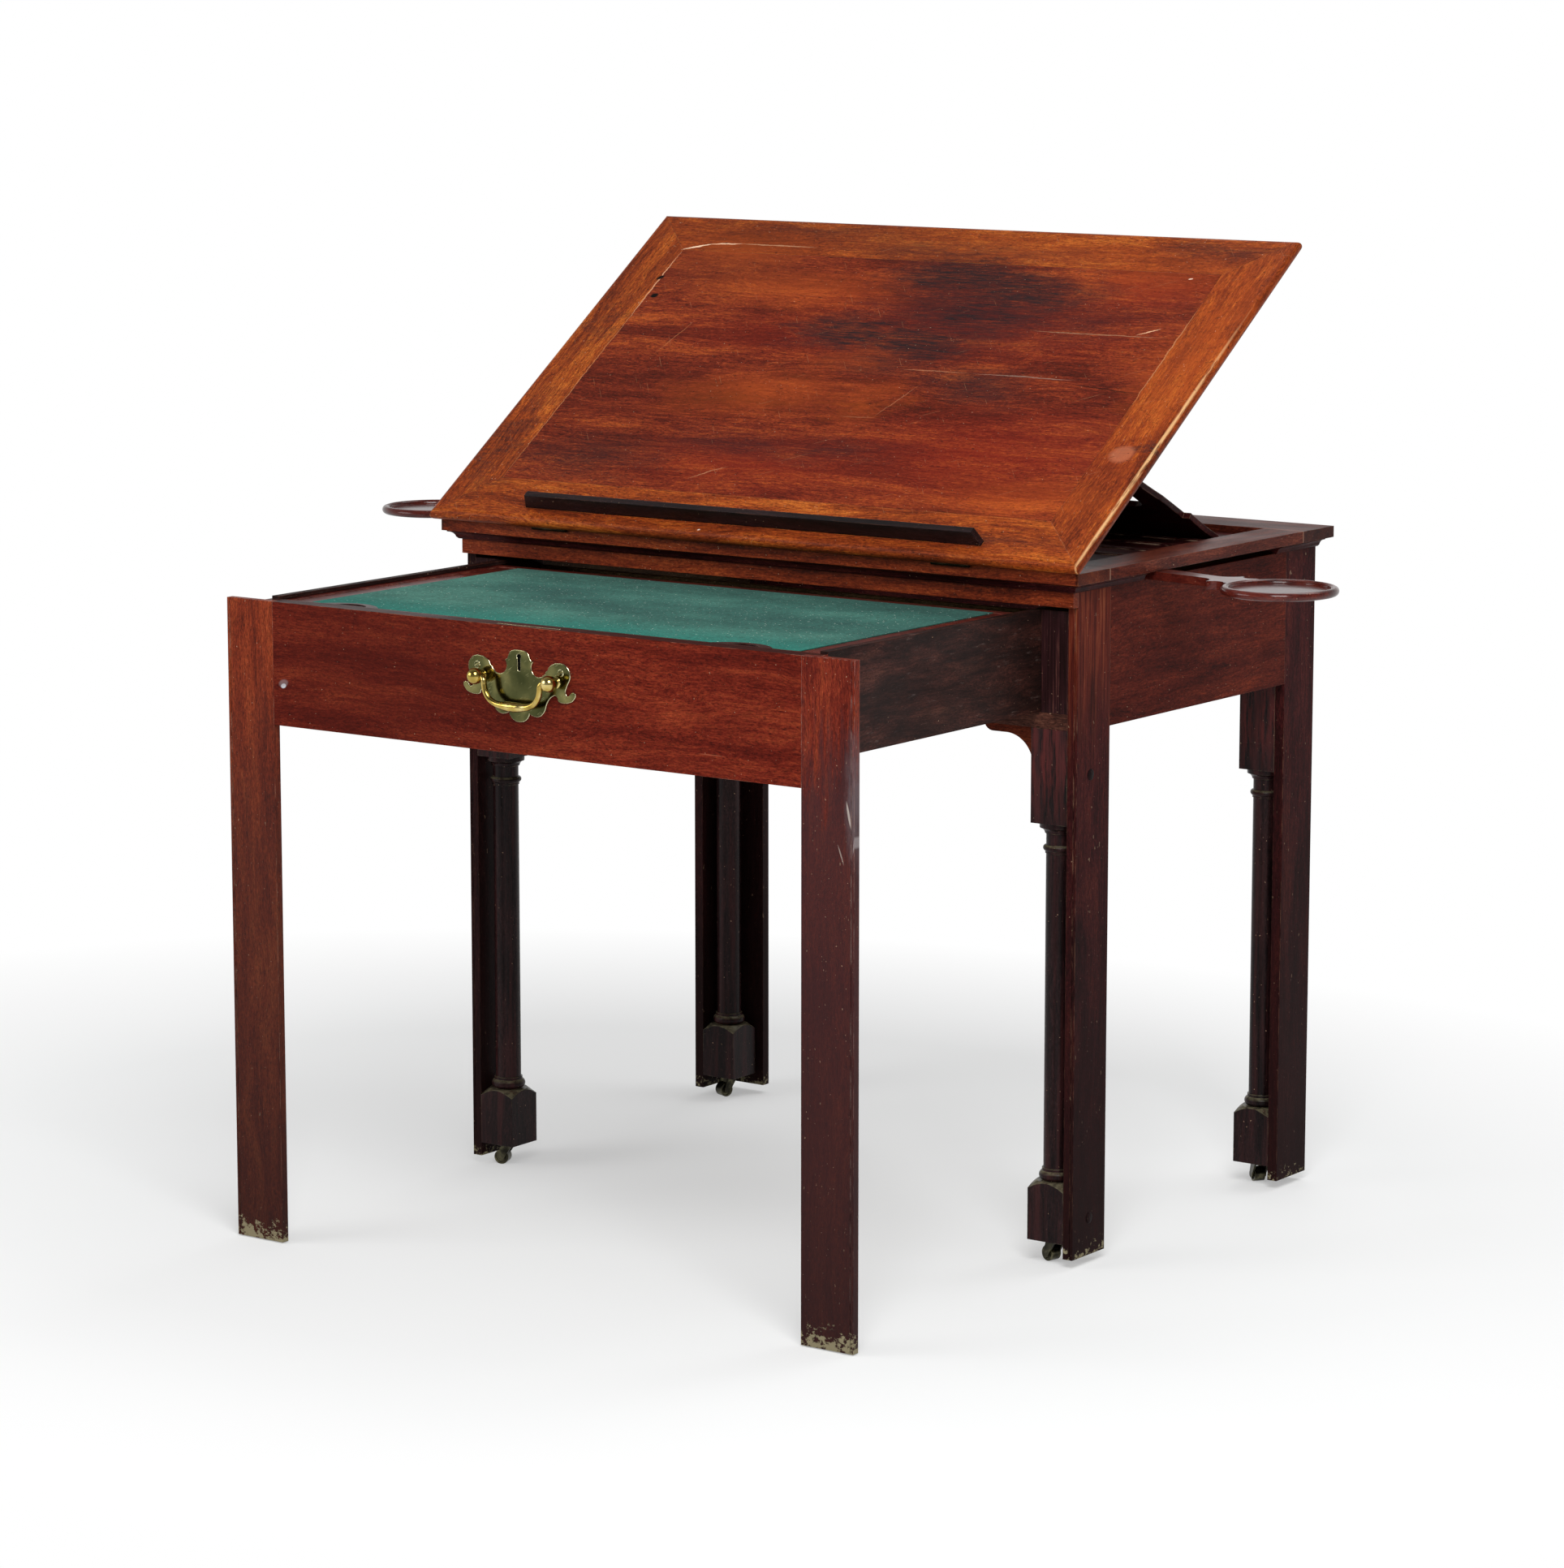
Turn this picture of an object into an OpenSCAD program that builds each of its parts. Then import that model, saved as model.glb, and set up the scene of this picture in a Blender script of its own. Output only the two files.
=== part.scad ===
// Architect table with a lifting top on an easel, a deep drawer that carries a
// baize-lined writing slide and its own front legs, two swing-out candle stands
// and four swivelling casters. Millimetres, Z up, front towards -Y. The floor is
// Z = 0. The solids stand in the pose of the photograph: top raised, drawer and
// candle stands out.

/* [Carcass] */
// Width over the side boards
carcass_w = 870; // [820:1:960]
// Depth of the side boards, front edge to back
carcass_d = 524; // [490:1:560]
// Height of the top of the side boards above the floor
case_top = 773; // [740:1:800]
// Thickness of the side, back and leg boards
board_t = 12.5; // [10:0.5:16]
// Width of each leg board
leg_board_w = 68; // [62:1:76]
// Gap between the leg boards and the floor
foot_gap = 11; // [6:0.5:16]
// Height of the side and back panels between the leg boards
panel_h = 158; // [150:1:170]
// How far the closed drawer front and the frieze stand before the side boards
front_lap = 10; // [8:0.5:14]
// Height of the frieze rail
frieze_h = 17.5; // [14:0.5:20]
// Depth of the frieze rail behind the side boards' front edges
frieze_d = 20; // [14:1:30]
// Thickness of the dust board over the drawer
dust_t = 6; // [4:0.5:8]
// Thickness of the bearer rail and the runners under the drawer
bearer_t = 18; // [14:0.5:22]
// Depth of the bearer rail from front to back
bearer_d = 30; // [24:1:40]

/* [Columns] */
// Side of the square blocks at the top and foot of a column
block_w = 48; // [42:1:50]
// Height of the lower edge of the top block
block_low = 508; // [480:1:530]
// Height of the foot block's top
foot_block_top = 96; // [80:1:120]
// Height of the foot block's underside
foot_block_low = 27.5; // [24:0.5:34]
// Radius of the column shaft
shaft_r = 15.5; // [12:0.5:18]
// Height of the neck ring above the floor
ring_z = 479; // [460:1:495]
// Radius of the neck ring
ring_r = 19; // [17:0.5:21]
// Radius of the roll at the foot of the shaft
base_roll_r = 20.5; // [18:0.5:22]
// Height of the roll at the foot of the shaft
base_roll_h = 12; // [8:0.5:14]

/* [Brackets] */
// Length of a bracket along the bearer rail
bracket_w = 75; // [60:1:90]
// Length of a bracket down the column
bracket_leg = 72; // [60:1:85]
// Thickness of the bracket's arm under the rail
bracket_arm = 12; // [8:1:16]
// Width of the bracket's foot against the column
bracket_foot = 9; // [6:0.5:11]
// Radius of the hollow in the bracket
bracket_hollow_r = 36; // [25:1:40]
// Thickness of the bracket
bracket_t = 12; // [10:1:14]

/* [Table frame] */
// Thickness of the frame rails round the well
frame_t = 13.3; // [11:0.1:16]
// Overhang of the frame beyond each side
frame_side_over = 17; // [14:0.5:22]
// Overhang of the frame before the frieze
frame_front_over = 18; // [15:0.5:22]
// Overhang of the frame behind the carcass
frame_back_over = 13; // [8:0.5:18]
// Width of the front rail of the frame
rail_front_w = 66; // [60:1:72]
// Width of the back rail of the frame
rail_back_w = 71; // [64:1:78]
// Width of the side rails of the frame
rail_side_w = 54; // [48:1:60]
// Height of the hollow moulding under the frame, which is the stand slot's height
cove_h = 10.4; // [9.5:0.1:14]
// How far the hollow moulding stands out at its top
cove_out = 13; // [11:0.5:15]
// How far the hollow moulding stands out at its foot
cove_nose = 5; // [4:0.5:6]
// Width of the side mouldings measured inwards from the side board's outer face
cove_side_in = 34; // [26:1:40]

/* [Well and ratchet] */
// Depth of the well's floor under the top of the frame
well_depth = 8.5; // [8:0.1:10]
// Thickness of the well's floor
well_floor_t = 4.6; // [3.5:0.1:4.8]
// Number of ratchet strips
strip_n = 4; // [2:1:5]
// Distance between ratchet strips
strip_pitch = 57; // [45:1:65]
// Width of a ratchet strip
strip_w = 8; // [6:0.5:12]
// Height of a ratchet strip
strip_h = 2.4; // [1.5:0.1:2.6]
// Gap between the last strip and the easel's foot
strip_foot_gap = 9; // [6:0.5:14]

/* [Lifting top] */
// Angle of the raised top
top_tilt = 35; // [25:0.5:40]
// Thickness of the top's border
top_t = 16; // [14:0.5:20]
// Thickness of the panel inside the border
panel_t = 12; // [10:0.5:14]
// Overhang of the top beyond the frame on the sides and back
top_over = 8; // [6:0.5:12]
// Width of the top's mitred border
border_w = 70; // [60:1:80]
// Gap between the closed top and the frame
top_gap = 0.4; // [0.3:0.1:0.6]
// Distance between the hinges of the top
hinge_span = 570; // [400:10:580]
// Length of a hinge
hinge_len = 50; // [40:1:60]
// Knuckle radius of the top's hinges
hinge_r = 2.8; // [2.4:0.1:3.2]
// Pin radius of the top's hinges
hinge_pin_r = 1.3; // [1:0.1:1.5]
// Leaf thickness of all hinges
leaf_t = 1.4; // [1:0.1:1.6]

/* [Book rest] */
// Length of the book rest
book_rest_len = 646; // [560:1:700]
// Thickness of the book rest
book_rest_t = 8; // [6:0.5:10]
// Height of the raised book rest above the top
book_rest_up = 19; // [14:0.5:19.5]
// Depth of the book rest that stays in the top
book_rest_in = 10; // [8:0.5:12]
// Middle of the book rest from the top's front edge
book_rest_y = 25; // [22:0.5:30]
// Slope of the book rest's ends, sideways run over its height
book_rest_slope = 6; // [0:0.5:10]
// Gap round sliding wood
slide_gap = 0.4; // [0.3:0.1:0.6]

/* [Easel] */
// Distance of the easel's pivot from the hinge line of the top
easel_at = 214; // [205:1:216]
// Length of the easel from its pivot to the middle of its rounded foot
easel_len = 278; // [268:1:279]
// Thickness of the easel
easel_t = 7; // [6:0.5:7.5]
// Width of the easel at its foot
easel_foot_w = 764; // [600:1:780]
// Width of the easel over its side members
easel_side_span = 742; // [580:1:750]
// Width of a side member
easel_side_w = 34; // [28:1:44]
// Depth of the foot rail
easel_foot_rail = 101; // [70:1:120]
// Depth of the easel's top rail
easel_top_rail = 44; // [34:1:60]
// Distance between the easel's hinges
easel_hinge_span = 500; // [300:10:600]
// Length of an easel hinge
easel_hinge_len = 44; // [36:1:50]
// Knuckle radius of the easel's hinges
easel_hinge_r = 2.4; // [2.2:0.1:2.5]
// Pin radius of the easel's hinges
easel_pin_r = 1.1; // [0.9:0.1:1.2]
// Leaf width of the easel's hinges
easel_leaf_w = 18; // [14:1:24]

/* [Drawer] */
// How far the drawer stands out
drawer_out = 422; // [380:1:430]
// Depth of the drawer behind its front
drawer_d = 500; // [470:1:505]
// Height of the lower edge of the drawer's front rail
drawer_front_low = 606; // [600:1:612]
// Height of the top edge of the drawer's front
drawer_front_top = 747; // [742:0.5:748]
// Thickness of the outer layer of the drawer's front and of its legs
drawer_face_t = 9.6; // [8:0.1:9.6]
// Thickness of the inner layer of the drawer's front
drawer_inner_t = 12; // [10:0.5:16]
// Width of the drawer's legs
drawer_leg_w = 68; // [60:1:76]
// Gap between the drawer's legs and the floor
drawer_leg_gap = 1.5; // [1:0.5:4]
// Thickness of the guides beside the drawer box
guide_t = 35.7; // [34:0.1:46]
// Height of the drawer's sides
drawer_side_h = 115.2; // [110:0.2:116]
// Thickness of the drawer's sides
drawer_side_t = 10; // [9:0.5:12]
// Thickness of the drawer's back
drawer_back_t = 10; // [8:0.5:12]
// Thickness of the drawer's bottom
drawer_bottom_t = 6; // [5:0.5:8]
// Height of the drawer's bottom above the lower edge of its sides
drawer_bottom_up = 5; // [3:0.5:10]
// Width of the bead along the drawer legs' outer edges
bead_w = 3.2; // [2.5:0.1:4]

/* [Writing slide] */
// Depth of the writing slide
slide_d = 400; // [360:1:420]
// Thickness of the writing slide
slide_t = 8; // [7:0.5:9]
// Drop of the writing slide below the drawer's sides
slide_drop = 5; // [4.5:0.1:6]
// Depth of the grooves in the drawer's sides
groove_d = 4; // [3:0.5:5]
// Width of the wooden margin round the baize
baize_margin = 13; // [8:1:20]
// Thickness of the baize
baize_t = 1; // [0.8:0.1:1.2]
// Distance of the finger pulls from the middle
pull_at = 272; // [200:1:300]
// Width of a finger pull
pull_w = 84; // [70:1:96]
// Depth of a finger pull
pull_d = 22; // [20:1:30]
// Thickness of a finger pull
pull_t = 3; // [2.5:0.1:4]
// Width of the finger hole
pull_hole_w = 44; // [34:1:50]
// Depth of the finger hole
pull_hole_d = 12; // [8:0.5:14]

/* [Drawer handle] */
// Middle of the handle to the left of the drawer's middle
handle_shift = 10; // [0:1:16]
// Height of the handle's posts above the floor
handle_z = 690; // [670:1:700]
// Thickness of the back plate
plate_t = 2; // [1.5:0.1:3]
// Distance between the two posts
post_span = 103; // [96:1:110]
// Radius of a post's ball
ball_r = 7.6; // [7:0.1:8.2]
// Distance of the ball's middle from the back plate
post_out = 12.5; // [11.5:0.5:15]
// Radius of the post's neck
post_neck_r = 3.6; // [3:0.1:4]
// Radius of the bail's rod
bail_r = 3.4; // [3:0.1:3.8]
// Distance between the bail's two arms
bail_span = 78; // [74:1:79]
// Drop of the bail below the posts
bail_drop = 29; // [24:0.5:33]
// Radius of the bend between the bail's arms and its lower bar
bail_bend_r = 20; // [14:0.5:22]
// Radius of the bail's pivot ends
bail_pin_r = 1.8; // [1.5:0.1:2]

/* [Candle stands] */
// Distance of the stand's pivot behind the frieze
stand_pivot_y = 165; // [150:1:175]
// Distance from the pivot to the middle of the dish
stand_reach = 204; // [190:1:212]
// Radius of the dish
dish_r = 65.5; // [58:0.5:66]
// Width of the dish's moulded rim
dish_rim = 9; // [8:0.5:11]
// Depth of the dish
dish_depth = 4.6; // [3:0.1:5]
// Drop from the rim to the step inside it
dish_step = 1.5; // [1:0.1:2]
// Half width of the arm at its pivot
stand_arm_r = 15; // [13:0.5:16]
// Half width of the arm at its waist
stand_waist = 11; // [9:0.5:12]
// Half width of the arm over its two cusps
stand_cusp = 30.5; // [27:0.5:34]
// Radius of a cusp's round nose
cusp_r = 3.6; // [3:0.1:4.5]
// Gap above and below a stand in its slot
stand_gap = 0.4; // [0.3:0.1:0.6]
// Angle of the right stand in front of the table's side line
stand_angle_right = 13; // [0:1:16]
// Angle of the left stand in front of the table's side line
stand_angle_left = -6; // [-20:1:13]
// Radius of the stand's pivot pin
stand_pin_r = 3.2; // [2.5:0.1:4]

/* [Casters] */
// Radius of a caster wheel
wheel_r = 9; // [8:0.1:10]
// Width of a caster wheel
wheel_w = 13; // [11:0.5:15]
// Distance of the wheel's axle from the swivel line
caster_trail = 8; // [6:0.5:9]
// Thickness of a fork cheek
fork_t = 2.4; // [2:0.1:3]
// Radius of the fork's crown
fork_crown_r = 12.5; // [11:0.5:14]
// Radius of the fork's stem
stem_r = 4; // [3:0.1:5]
// Length of the stem inside the foot block
stem_h = 22; // [16:1:30]
// Radius of the wheel's axle
axle_r = 1.8; // [1.5:0.1:2.2]
// Swivel angle of the front left caster
turn_fl = 200; // [0:1:359]
// Swivel angle of the front right caster
turn_fr = 165; // [0:1:359]
// Swivel angle of the back left caster
turn_bl = 250; // [0:1:359]
// Swivel angle of the back right caster
turn_br = 140; // [0:1:359]

/* [Node] */
// Sub-part to draw

/* [Hidden] */
$fn = 48;
run_gap = 0.06;
half_w = carcass_w / 2;
inner_x = half_w - board_t;
board_y = front_lap;
back_y = front_lap + carcass_d;
leg_back_y = back_y - leg_board_w;
back_in_y = back_y - board_t;
panel_low = case_top - panel_h;
frieze_low = case_top - frieze_h;
dust_low = case_top - dust_t;
drawer_gap = 0.4;
glue_t = 0.05;
drawer_side_top = drawer_front_top + 3;
side_low = drawer_side_top - drawer_side_h;
runner_top = side_low - drawer_gap;
runner_low = runner_top - bearer_t;
guide_x = inner_x - guide_t;
box_x = guide_x - 2 * drawer_gap;
column_x = inner_x - block_w / 2;
column_front_y = board_y + block_w / 2;
column_back_y = leg_back_y + block_w / 2;

frame_low = case_top + cove_h;
frame_top = frame_low + frame_t;
frame_x = half_w + frame_side_over;
frame_front = -frame_front_over;
frame_back = back_y + frame_back_over;
well_x = frame_x - rail_side_w;
well_front = frame_front + rail_front_w;
well_back = frame_back - rail_back_w;
well_z = frame_top - well_depth;

hinge_gap = 0.3;
hinge_y = frame_front - hinge_r - hinge_gap;
hinge_z = frame_top + top_gap / 2;
top_low = frame_top + top_gap;
top_high = top_low + top_t;
top_x = frame_x + top_over;
top_front = frame_front - top_over;
top_back = frame_back + top_over;
panel_low_z = top_high - panel_t;
leaf_back = top_front + book_rest_y - book_rest_t / 2 - slide_gap - 0.6;

easel_mid_closed = well_z + strip_h + 0.6 + easel_t / 2;
easel_pin_y = hinge_y + easel_at;
easel_pin_z = easel_mid_closed + easel_t / 2 + easel_hinge_r - leaf_t + 0.2;
easel_off = easel_pin_z - easel_mid_closed;
foot_r = easel_t / 2;
pin_rise = easel_at * sin(top_tilt) + (easel_pin_z - hinge_z) * cos(top_tilt);
foot_drop = hinge_z + pin_rise - (well_z + drawer_gap + foot_r);
easel_reach = sqrt(easel_len * easel_len + easel_off * easel_off);
easel_lean = asin(foot_drop / easel_reach) - atan(easel_off / easel_len);
pin_run = easel_at * cos(top_tilt) - (easel_pin_z - hinge_z) * sin(top_tilt);
foot_run = easel_len * cos(easel_lean) - easel_off * sin(easel_lean);
foot_y = hinge_y + pin_run + foot_run;
easel_side_x = easel_side_span / 2;
easel_rail_y = easel_len + foot_r - easel_foot_rail;
easel_start = 0.6;

face_back = drawer_face_t;
inner_back = drawer_face_t + drawer_inner_t;
slide_top = drawer_side_top - slide_drop;
slide_low = slide_top - slide_t;
slide_front = inner_back + slide_gap;
slide_x = box_x - drawer_side_t + groove_d - slide_gap;
pull_low = slide_top - baize_t;
stand_t = cove_h - 2 * stand_gap;
stand_low = case_top + stand_gap;
pivot_x = half_w - board_t / 2;
slot_front = stand_pivot_y - stand_arm_r - 9;
slot_back = stand_pivot_y + stand_reach + dish_r + 1.5;

pin_in = 6;
fork_gap = 0.3;
fork_high = foot_block_low - fork_gap;

ball_y = plate_t + post_out;
handle_out = ball_y + ball_r;
y_mid = (frame_back - drawer_out - handle_out) / 2;

WOOD = [0.42, 0.16, 0.08];
DARK = [0.20, 0.09, 0.06];
PALE = [0.50, 0.33, 0.18];
BRASS = [0.72, 0.60, 0.30];
IRON = [0.25, 0.24, 0.22];
GREEN = [0.12, 0.36, 0.31];

// Moves what is drawn from the frieze's front to the middle of the part.
module placed() {
  translate([0, -y_mid, 0]) children();
}

// A box given by its two corners.
module box(low, high) {
  translate(low) cube([high[0] - low[0], high[1] - low[1], high[2] - low[2]]);
}

// Draws its children on the right, or mirrored on the left.
module sided(side) {
  if (side > 0) children();
  else mirror([1, 0, 0]) children();
}

// Tilts what is drawn for the closed top round its hinge line.
module on_top() {
  translate([0, hinge_y, hinge_z]) rotate([top_tilt, 0, 0]) translate([0, -hinge_y, -hinge_z]) children();
}

// Swings what is drawn for the folded easel down to the ratchet.
module on_easel() {
  on_top() translate([0, easel_pin_y, easel_pin_z]) rotate([-top_tilt - easel_lean, 0, 0])
    translate([0, -easel_pin_y, -easel_pin_z]) children();
}

// Pulls out what is drawn for the closed drawer.
module on_drawer() {
  translate([0, -drawer_out, 0]) children();
}

// A bar along X.
module bar_x(r, len) {
  rotate([0, 90, 0]) cylinder(r = r, h = len, center = true);
}

// Front leg board with a quirk along its outer corner.
module leg_board_front(side) {
  color(WOOD) placed() sided(side) difference() {
    box([inner_x, board_y, foot_gap], [half_w, board_y + leg_board_w, case_top]);
    box([half_w - bead_w - 0.9, board_y - 1, foot_gap - 1], [half_w - bead_w, board_y + 0.9, case_top + 1]);
  }
}

module leg_board_front_left() {
  leg_board_front(-1);
}

module leg_board_front_right() {
  leg_board_front(1);
}

// Back leg of two boards, one on the side and one on the back.
module leg_board_back(side) {
  color(WOOD) placed() sided(side) union() {
    box([inner_x, leg_back_y, foot_gap], [half_w, back_y, case_top]);
    box([half_w - leg_board_w, back_in_y, foot_gap], [half_w, back_y, case_top]);
  }
}

module leg_board_back_left() {
  leg_board_back(-1);
}

module leg_board_back_right() {
  leg_board_back(1);
}

// Side panel between the leg boards, bored for the stand's pivot pin.
module side_panel(side) {
  color(WOOD) placed() sided(side) difference() {
    box([inner_x, board_y + leg_board_w, panel_low], [half_w, leg_back_y, case_top]);
    translate([pivot_x, stand_pivot_y, case_top - pin_in]) cylinder(r = stand_pin_r, h = pin_in + 1);
  }
}

module side_panel_left() {
  side_panel(-1);
}

module side_panel_right() {
  side_panel(1);
}

module back_panel() {
  panel_x = half_w - leg_board_w;
  color(WOOD) placed() box([-panel_x, back_in_y, panel_low], [panel_x, back_y, case_top]);
}

// Frieze over the drawer, lapped over the side boards' front edges.
module frieze_rail() {
  color(WOOD) placed() union() {
    box([-half_w, 0, frieze_low], [half_w, board_y, case_top]);
    box([-inner_x, 0, frieze_low], [inner_x, board_y + frieze_d, dust_low]);
  }
}

module bearer_rail() {
  color(DARK) placed() box([-inner_x, board_y, runner_low], [inner_x, board_y + bearer_d, runner_top]);
}

// Ogee outline of a bracket, x away from the column and y below the rail.
module bracket_outline() {
  nose = bracket_arm;
  union() {
    translate([0, -bracket_leg + bracket_foot]) square([bracket_foot, bracket_leg - bracket_foot]);
    intersection() {
      translate([0, -bracket_leg + bracket_foot]) circle(r = bracket_foot);
      translate([0, -bracket_leg]) square([bracket_foot, bracket_foot]);
    }
    translate([0, -bracket_arm]) square([bracket_w - nose, bracket_arm]);
    intersection() {
      translate([bracket_w - nose, 0]) circle(r = nose);
      translate([bracket_w - nose, -nose]) square([nose, nose]);
    }
    difference() {
      translate([bracket_foot - 1, -bracket_arm - bracket_hollow_r])
        square([bracket_hollow_r + 1, bracket_hollow_r + 1]);
      translate([bracket_foot + bracket_hollow_r, -bracket_arm - bracket_hollow_r])
        circle(r = bracket_hollow_r);
    }
  }
}

module bracket(side) {
  color(DARK) placed() sided(side) translate([inner_x - block_w, column_front_y + bracket_t / 2, runner_low])
    mirror([1, 0, 0]) rotate([90, 0, 0]) linear_extrude(bracket_t) bracket_outline();
}

module bracket_left() {
  bracket(-1);
}

module bracket_right() {
  bracket(1);
}

// Turned outline of a column between its two blocks.
module turning() {
  cap_r = block_w / 2 - 1;
  neck_z = block_low - 12;
  roll_top = foot_block_top + base_roll_h;
  roll_mid = base_roll_h / 2;
  rotate_extrude() difference() {
    union() {
      translate([0, foot_block_top - 1]) square([shaft_r, block_low - foot_block_top + 2]);
      translate([0, foot_block_top - 1]) square([base_roll_r - roll_mid, base_roll_h + 1]);
      translate([base_roll_r - roll_mid, foot_block_top + roll_mid]) circle(r = roll_mid);
      translate([0, roll_top - 0.5]) square([shaft_r + 1.6, 3]);
      translate([shaft_r, ring_z]) circle(r = ring_r - shaft_r);
      translate([0, ring_z - 6]) square([shaft_r + 1, 3]);
      translate([0, neck_z]) square([cap_r, 13]);
    }
    translate([cap_r + 1.5, neck_z - 1]) circle(r = cap_r - shaft_r);
    translate([-2 * block_w, 0]) square([2 * block_w, 2 * block_low]);
  }
}

// Column with its square top block, turned shaft and foot block.
module column(x_side, y_at) {
  cut = 8;
  color(DARK) placed() sided(x_side) translate([column_x, y_at, 0]) difference() {
    union() {
      box([-block_w / 2, -block_w / 2, block_low], [block_w / 2, block_w / 2, runner_low]);
      turning();
      box([-block_w / 2, -block_w / 2, foot_block_low], [block_w / 2, block_w / 2, foot_block_top - cut]);
      intersection() {
        box([-block_w / 2, -block_w / 2, foot_block_top - cut - 1],
          [block_w / 2, block_w / 2, foot_block_top]);
        translate([0, 0, foot_block_top - cut - 1])
          cylinder(r1 = block_w * 0.72, r2 = block_w / 2 - 1, h = cut + 1);
      }
    }
    translate([0, 0, foot_block_low - 1]) cylinder(r = stem_r + run_gap, h = stem_h + 2);
  }
}

module column_front_left() {
  column(-1, column_front_y);
}

module column_front_right() {
  column(1, column_front_y);
}

module column_back_left() {
  column(-1, column_back_y);
}

module column_back_right() {
  column(1, column_back_y);
}

// Runners under the drawer with the guides beside it.
module drawer_guides() {
  color(PALE) placed() for (side = [-1, 1]) sided(side) union() {
    box([inner_x - block_w, board_y + bearer_d, runner_low], [inner_x, back_in_y, runner_top]);
    box([guide_x, board_y, runner_top], [inner_x, back_in_y, drawer_side_top]);
  }
}

// Front rail of the frame, slotted for the lowered book rest and let in for hinges.
module frame_rail_front() {
  color(WOOD) placed() difference() {
    box([-frame_x, frame_front, frame_low], [frame_x, well_front, frame_top]);
    book_rest_room(slide_gap);
    for (side = [-1, 1]) translate([side * hinge_span / 2, 0, 0])
      box([-hinge_len / 2, frame_front - 1, frame_top - leaf_t], [hinge_len / 2, leaf_back, frame_top + 1]);
  }
}

module frame_rail_back() {
  color(WOOD) placed() box([-frame_x, well_back, frame_low], [frame_x, frame_back, frame_top]);
}

// Side rail of the frame, bored for the stand's pivot pin.
module frame_rail_side(side) {
  color(WOOD) placed() sided(side) difference() {
    box([well_x, well_front, frame_low], [frame_x, well_back, frame_top]);
    translate([pivot_x, stand_pivot_y, frame_low - 1]) cylinder(r = stand_pin_r, h = pin_in + 1);
  }
}

module frame_rail_left() {
  frame_rail_side(-1);
}

module frame_rail_right() {
  frame_rail_side(1);
}

// Hollow profile, y out from the board's face and z up from its top.
module cove_profile(depth) {
  lip = 1.8;
  hollow_r = cove_out - cove_nose;
  arris = 2;
  difference() {
    translate([-depth, 0]) square([depth + cove_out, cove_h]);
    translate([cove_out, cove_h - lip - hollow_r]) circle(r = hollow_r);
    polygon([[cove_nose - arris, -0.01], [cove_nose + 1, -0.01], [cove_nose + 1, arris + 1]]);
  }
}

// Front moulding between two places along X.
module cove_front(x_low, x_high) {
  translate([x_low, 0, case_top]) rotate([90, 0, 90]) linear_extrude(x_high - x_low)
    mirror([1, 0]) cove_profile(board_y);
}

// Right-hand side moulding between two places along Y.
module cove_side(y_low, y_high) {
  translate([half_w, y_high, case_top]) rotate([90, 0, 0]) linear_extrude(y_high - y_low)
    cove_profile(cove_side_in);
}

// Moulding under the frame, mitred at the front and left open where a stand swings in.
module cove_moulding() {
  out = cove_out + 1;
  color(WOOD) placed() union() {
    cove_front(-half_w, half_w);
    for (side = [-1, 1]) sided(side) {
      cove_side(board_y, slot_front);
      cove_side(slot_back, back_y);
      intersection() {
        cove_front(half_w - 1, half_w + out);
        cove_side(-out, board_y);
      }
    }
    box([-half_w + 1, back_in_y, case_top], [half_w - 1, back_y, frame_low]);
  }
}

module dust_board() {
  color(PALE) placed() box([-inner_x, board_y, dust_low], [inner_x, back_in_y, case_top]);
}

// Floor of the well with the strips that stop the easel's foot, each on its line of glue.
module ratchet_board() {
  last = foot_y - foot_r - strip_foot_gap - strip_w;
  color(DARK) placed() union() {
    box([-well_x, well_front, well_z - well_floor_t], [well_x, well_back, well_z]);
    for (i = [0:strip_n - 1]) translate([-well_x, last - i * strip_pitch, well_z]) rotate([90, 0, 90])
      linear_extrude(2 * well_x)
        polygon([[0, glue_t], [strip_w, glue_t], [strip_w, strip_h], [2, strip_h], [0, 1]]);
  }
}

// Pins on which the candle stands turn.
module stand_pivots() {
  color(IRON) placed() for (side = [-1, 1]) translate([side * pivot_x, stand_pivot_y, case_top - pin_in])
    cylinder(r = stand_pin_r, h = cove_h + 2 * pin_in);
}

// Knuckles of one hinge along X: the middle one, or the two outer ones with the pin.
module knuckles(r, pin_r, len, middle) {
  mid = len / 3;
  if (middle) difference() {
    bar_x(r, mid - hinge_gap);
    bar_x(pin_r + run_gap, len);
  }
  else union() {
    for (side = [-1, 1]) translate([side * (len / 2 - (len - mid) / 4 + hinge_gap / 4), 0, 0])
      bar_x(r, (len - mid) / 2 - hinge_gap / 2);
    bar_x(pin_r, len);
  }
}

// Hinge leaf along +Y from the pin, kept clear of the other leaf's knuckles.
module leaf(r, pin_r, len, wide, middle, z_low, z_high) {
  mid = len / 3;
  difference() {
    box([-len / 2, 0, z_low], [len / 2, wide, z_high]);
    if (middle) for (side = [-1, 1]) translate([side * (mid / 2 + len / 2), 0, 0]) bar_x(r + hinge_gap, len);
    else bar_x(r + hinge_gap, mid);
    if (pin_r > 0) bar_x(pin_r + run_gap, len + 2);
  }
}

// Fixed leaves of the top's hinges, let into the front rail.
module top_hinge_leaves() {
  color(BRASS) placed() for (side = [-1, 1]) translate([side * hinge_span / 2, hinge_y, hinge_z]) union() {
    knuckles(hinge_r, hinge_pin_r, hinge_len, false);
    leaf(hinge_r, 0, hinge_len, leaf_back - hinge_y, false,
      frame_top - leaf_t - hinge_z, frame_top - hinge_z);
  }
}

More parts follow.
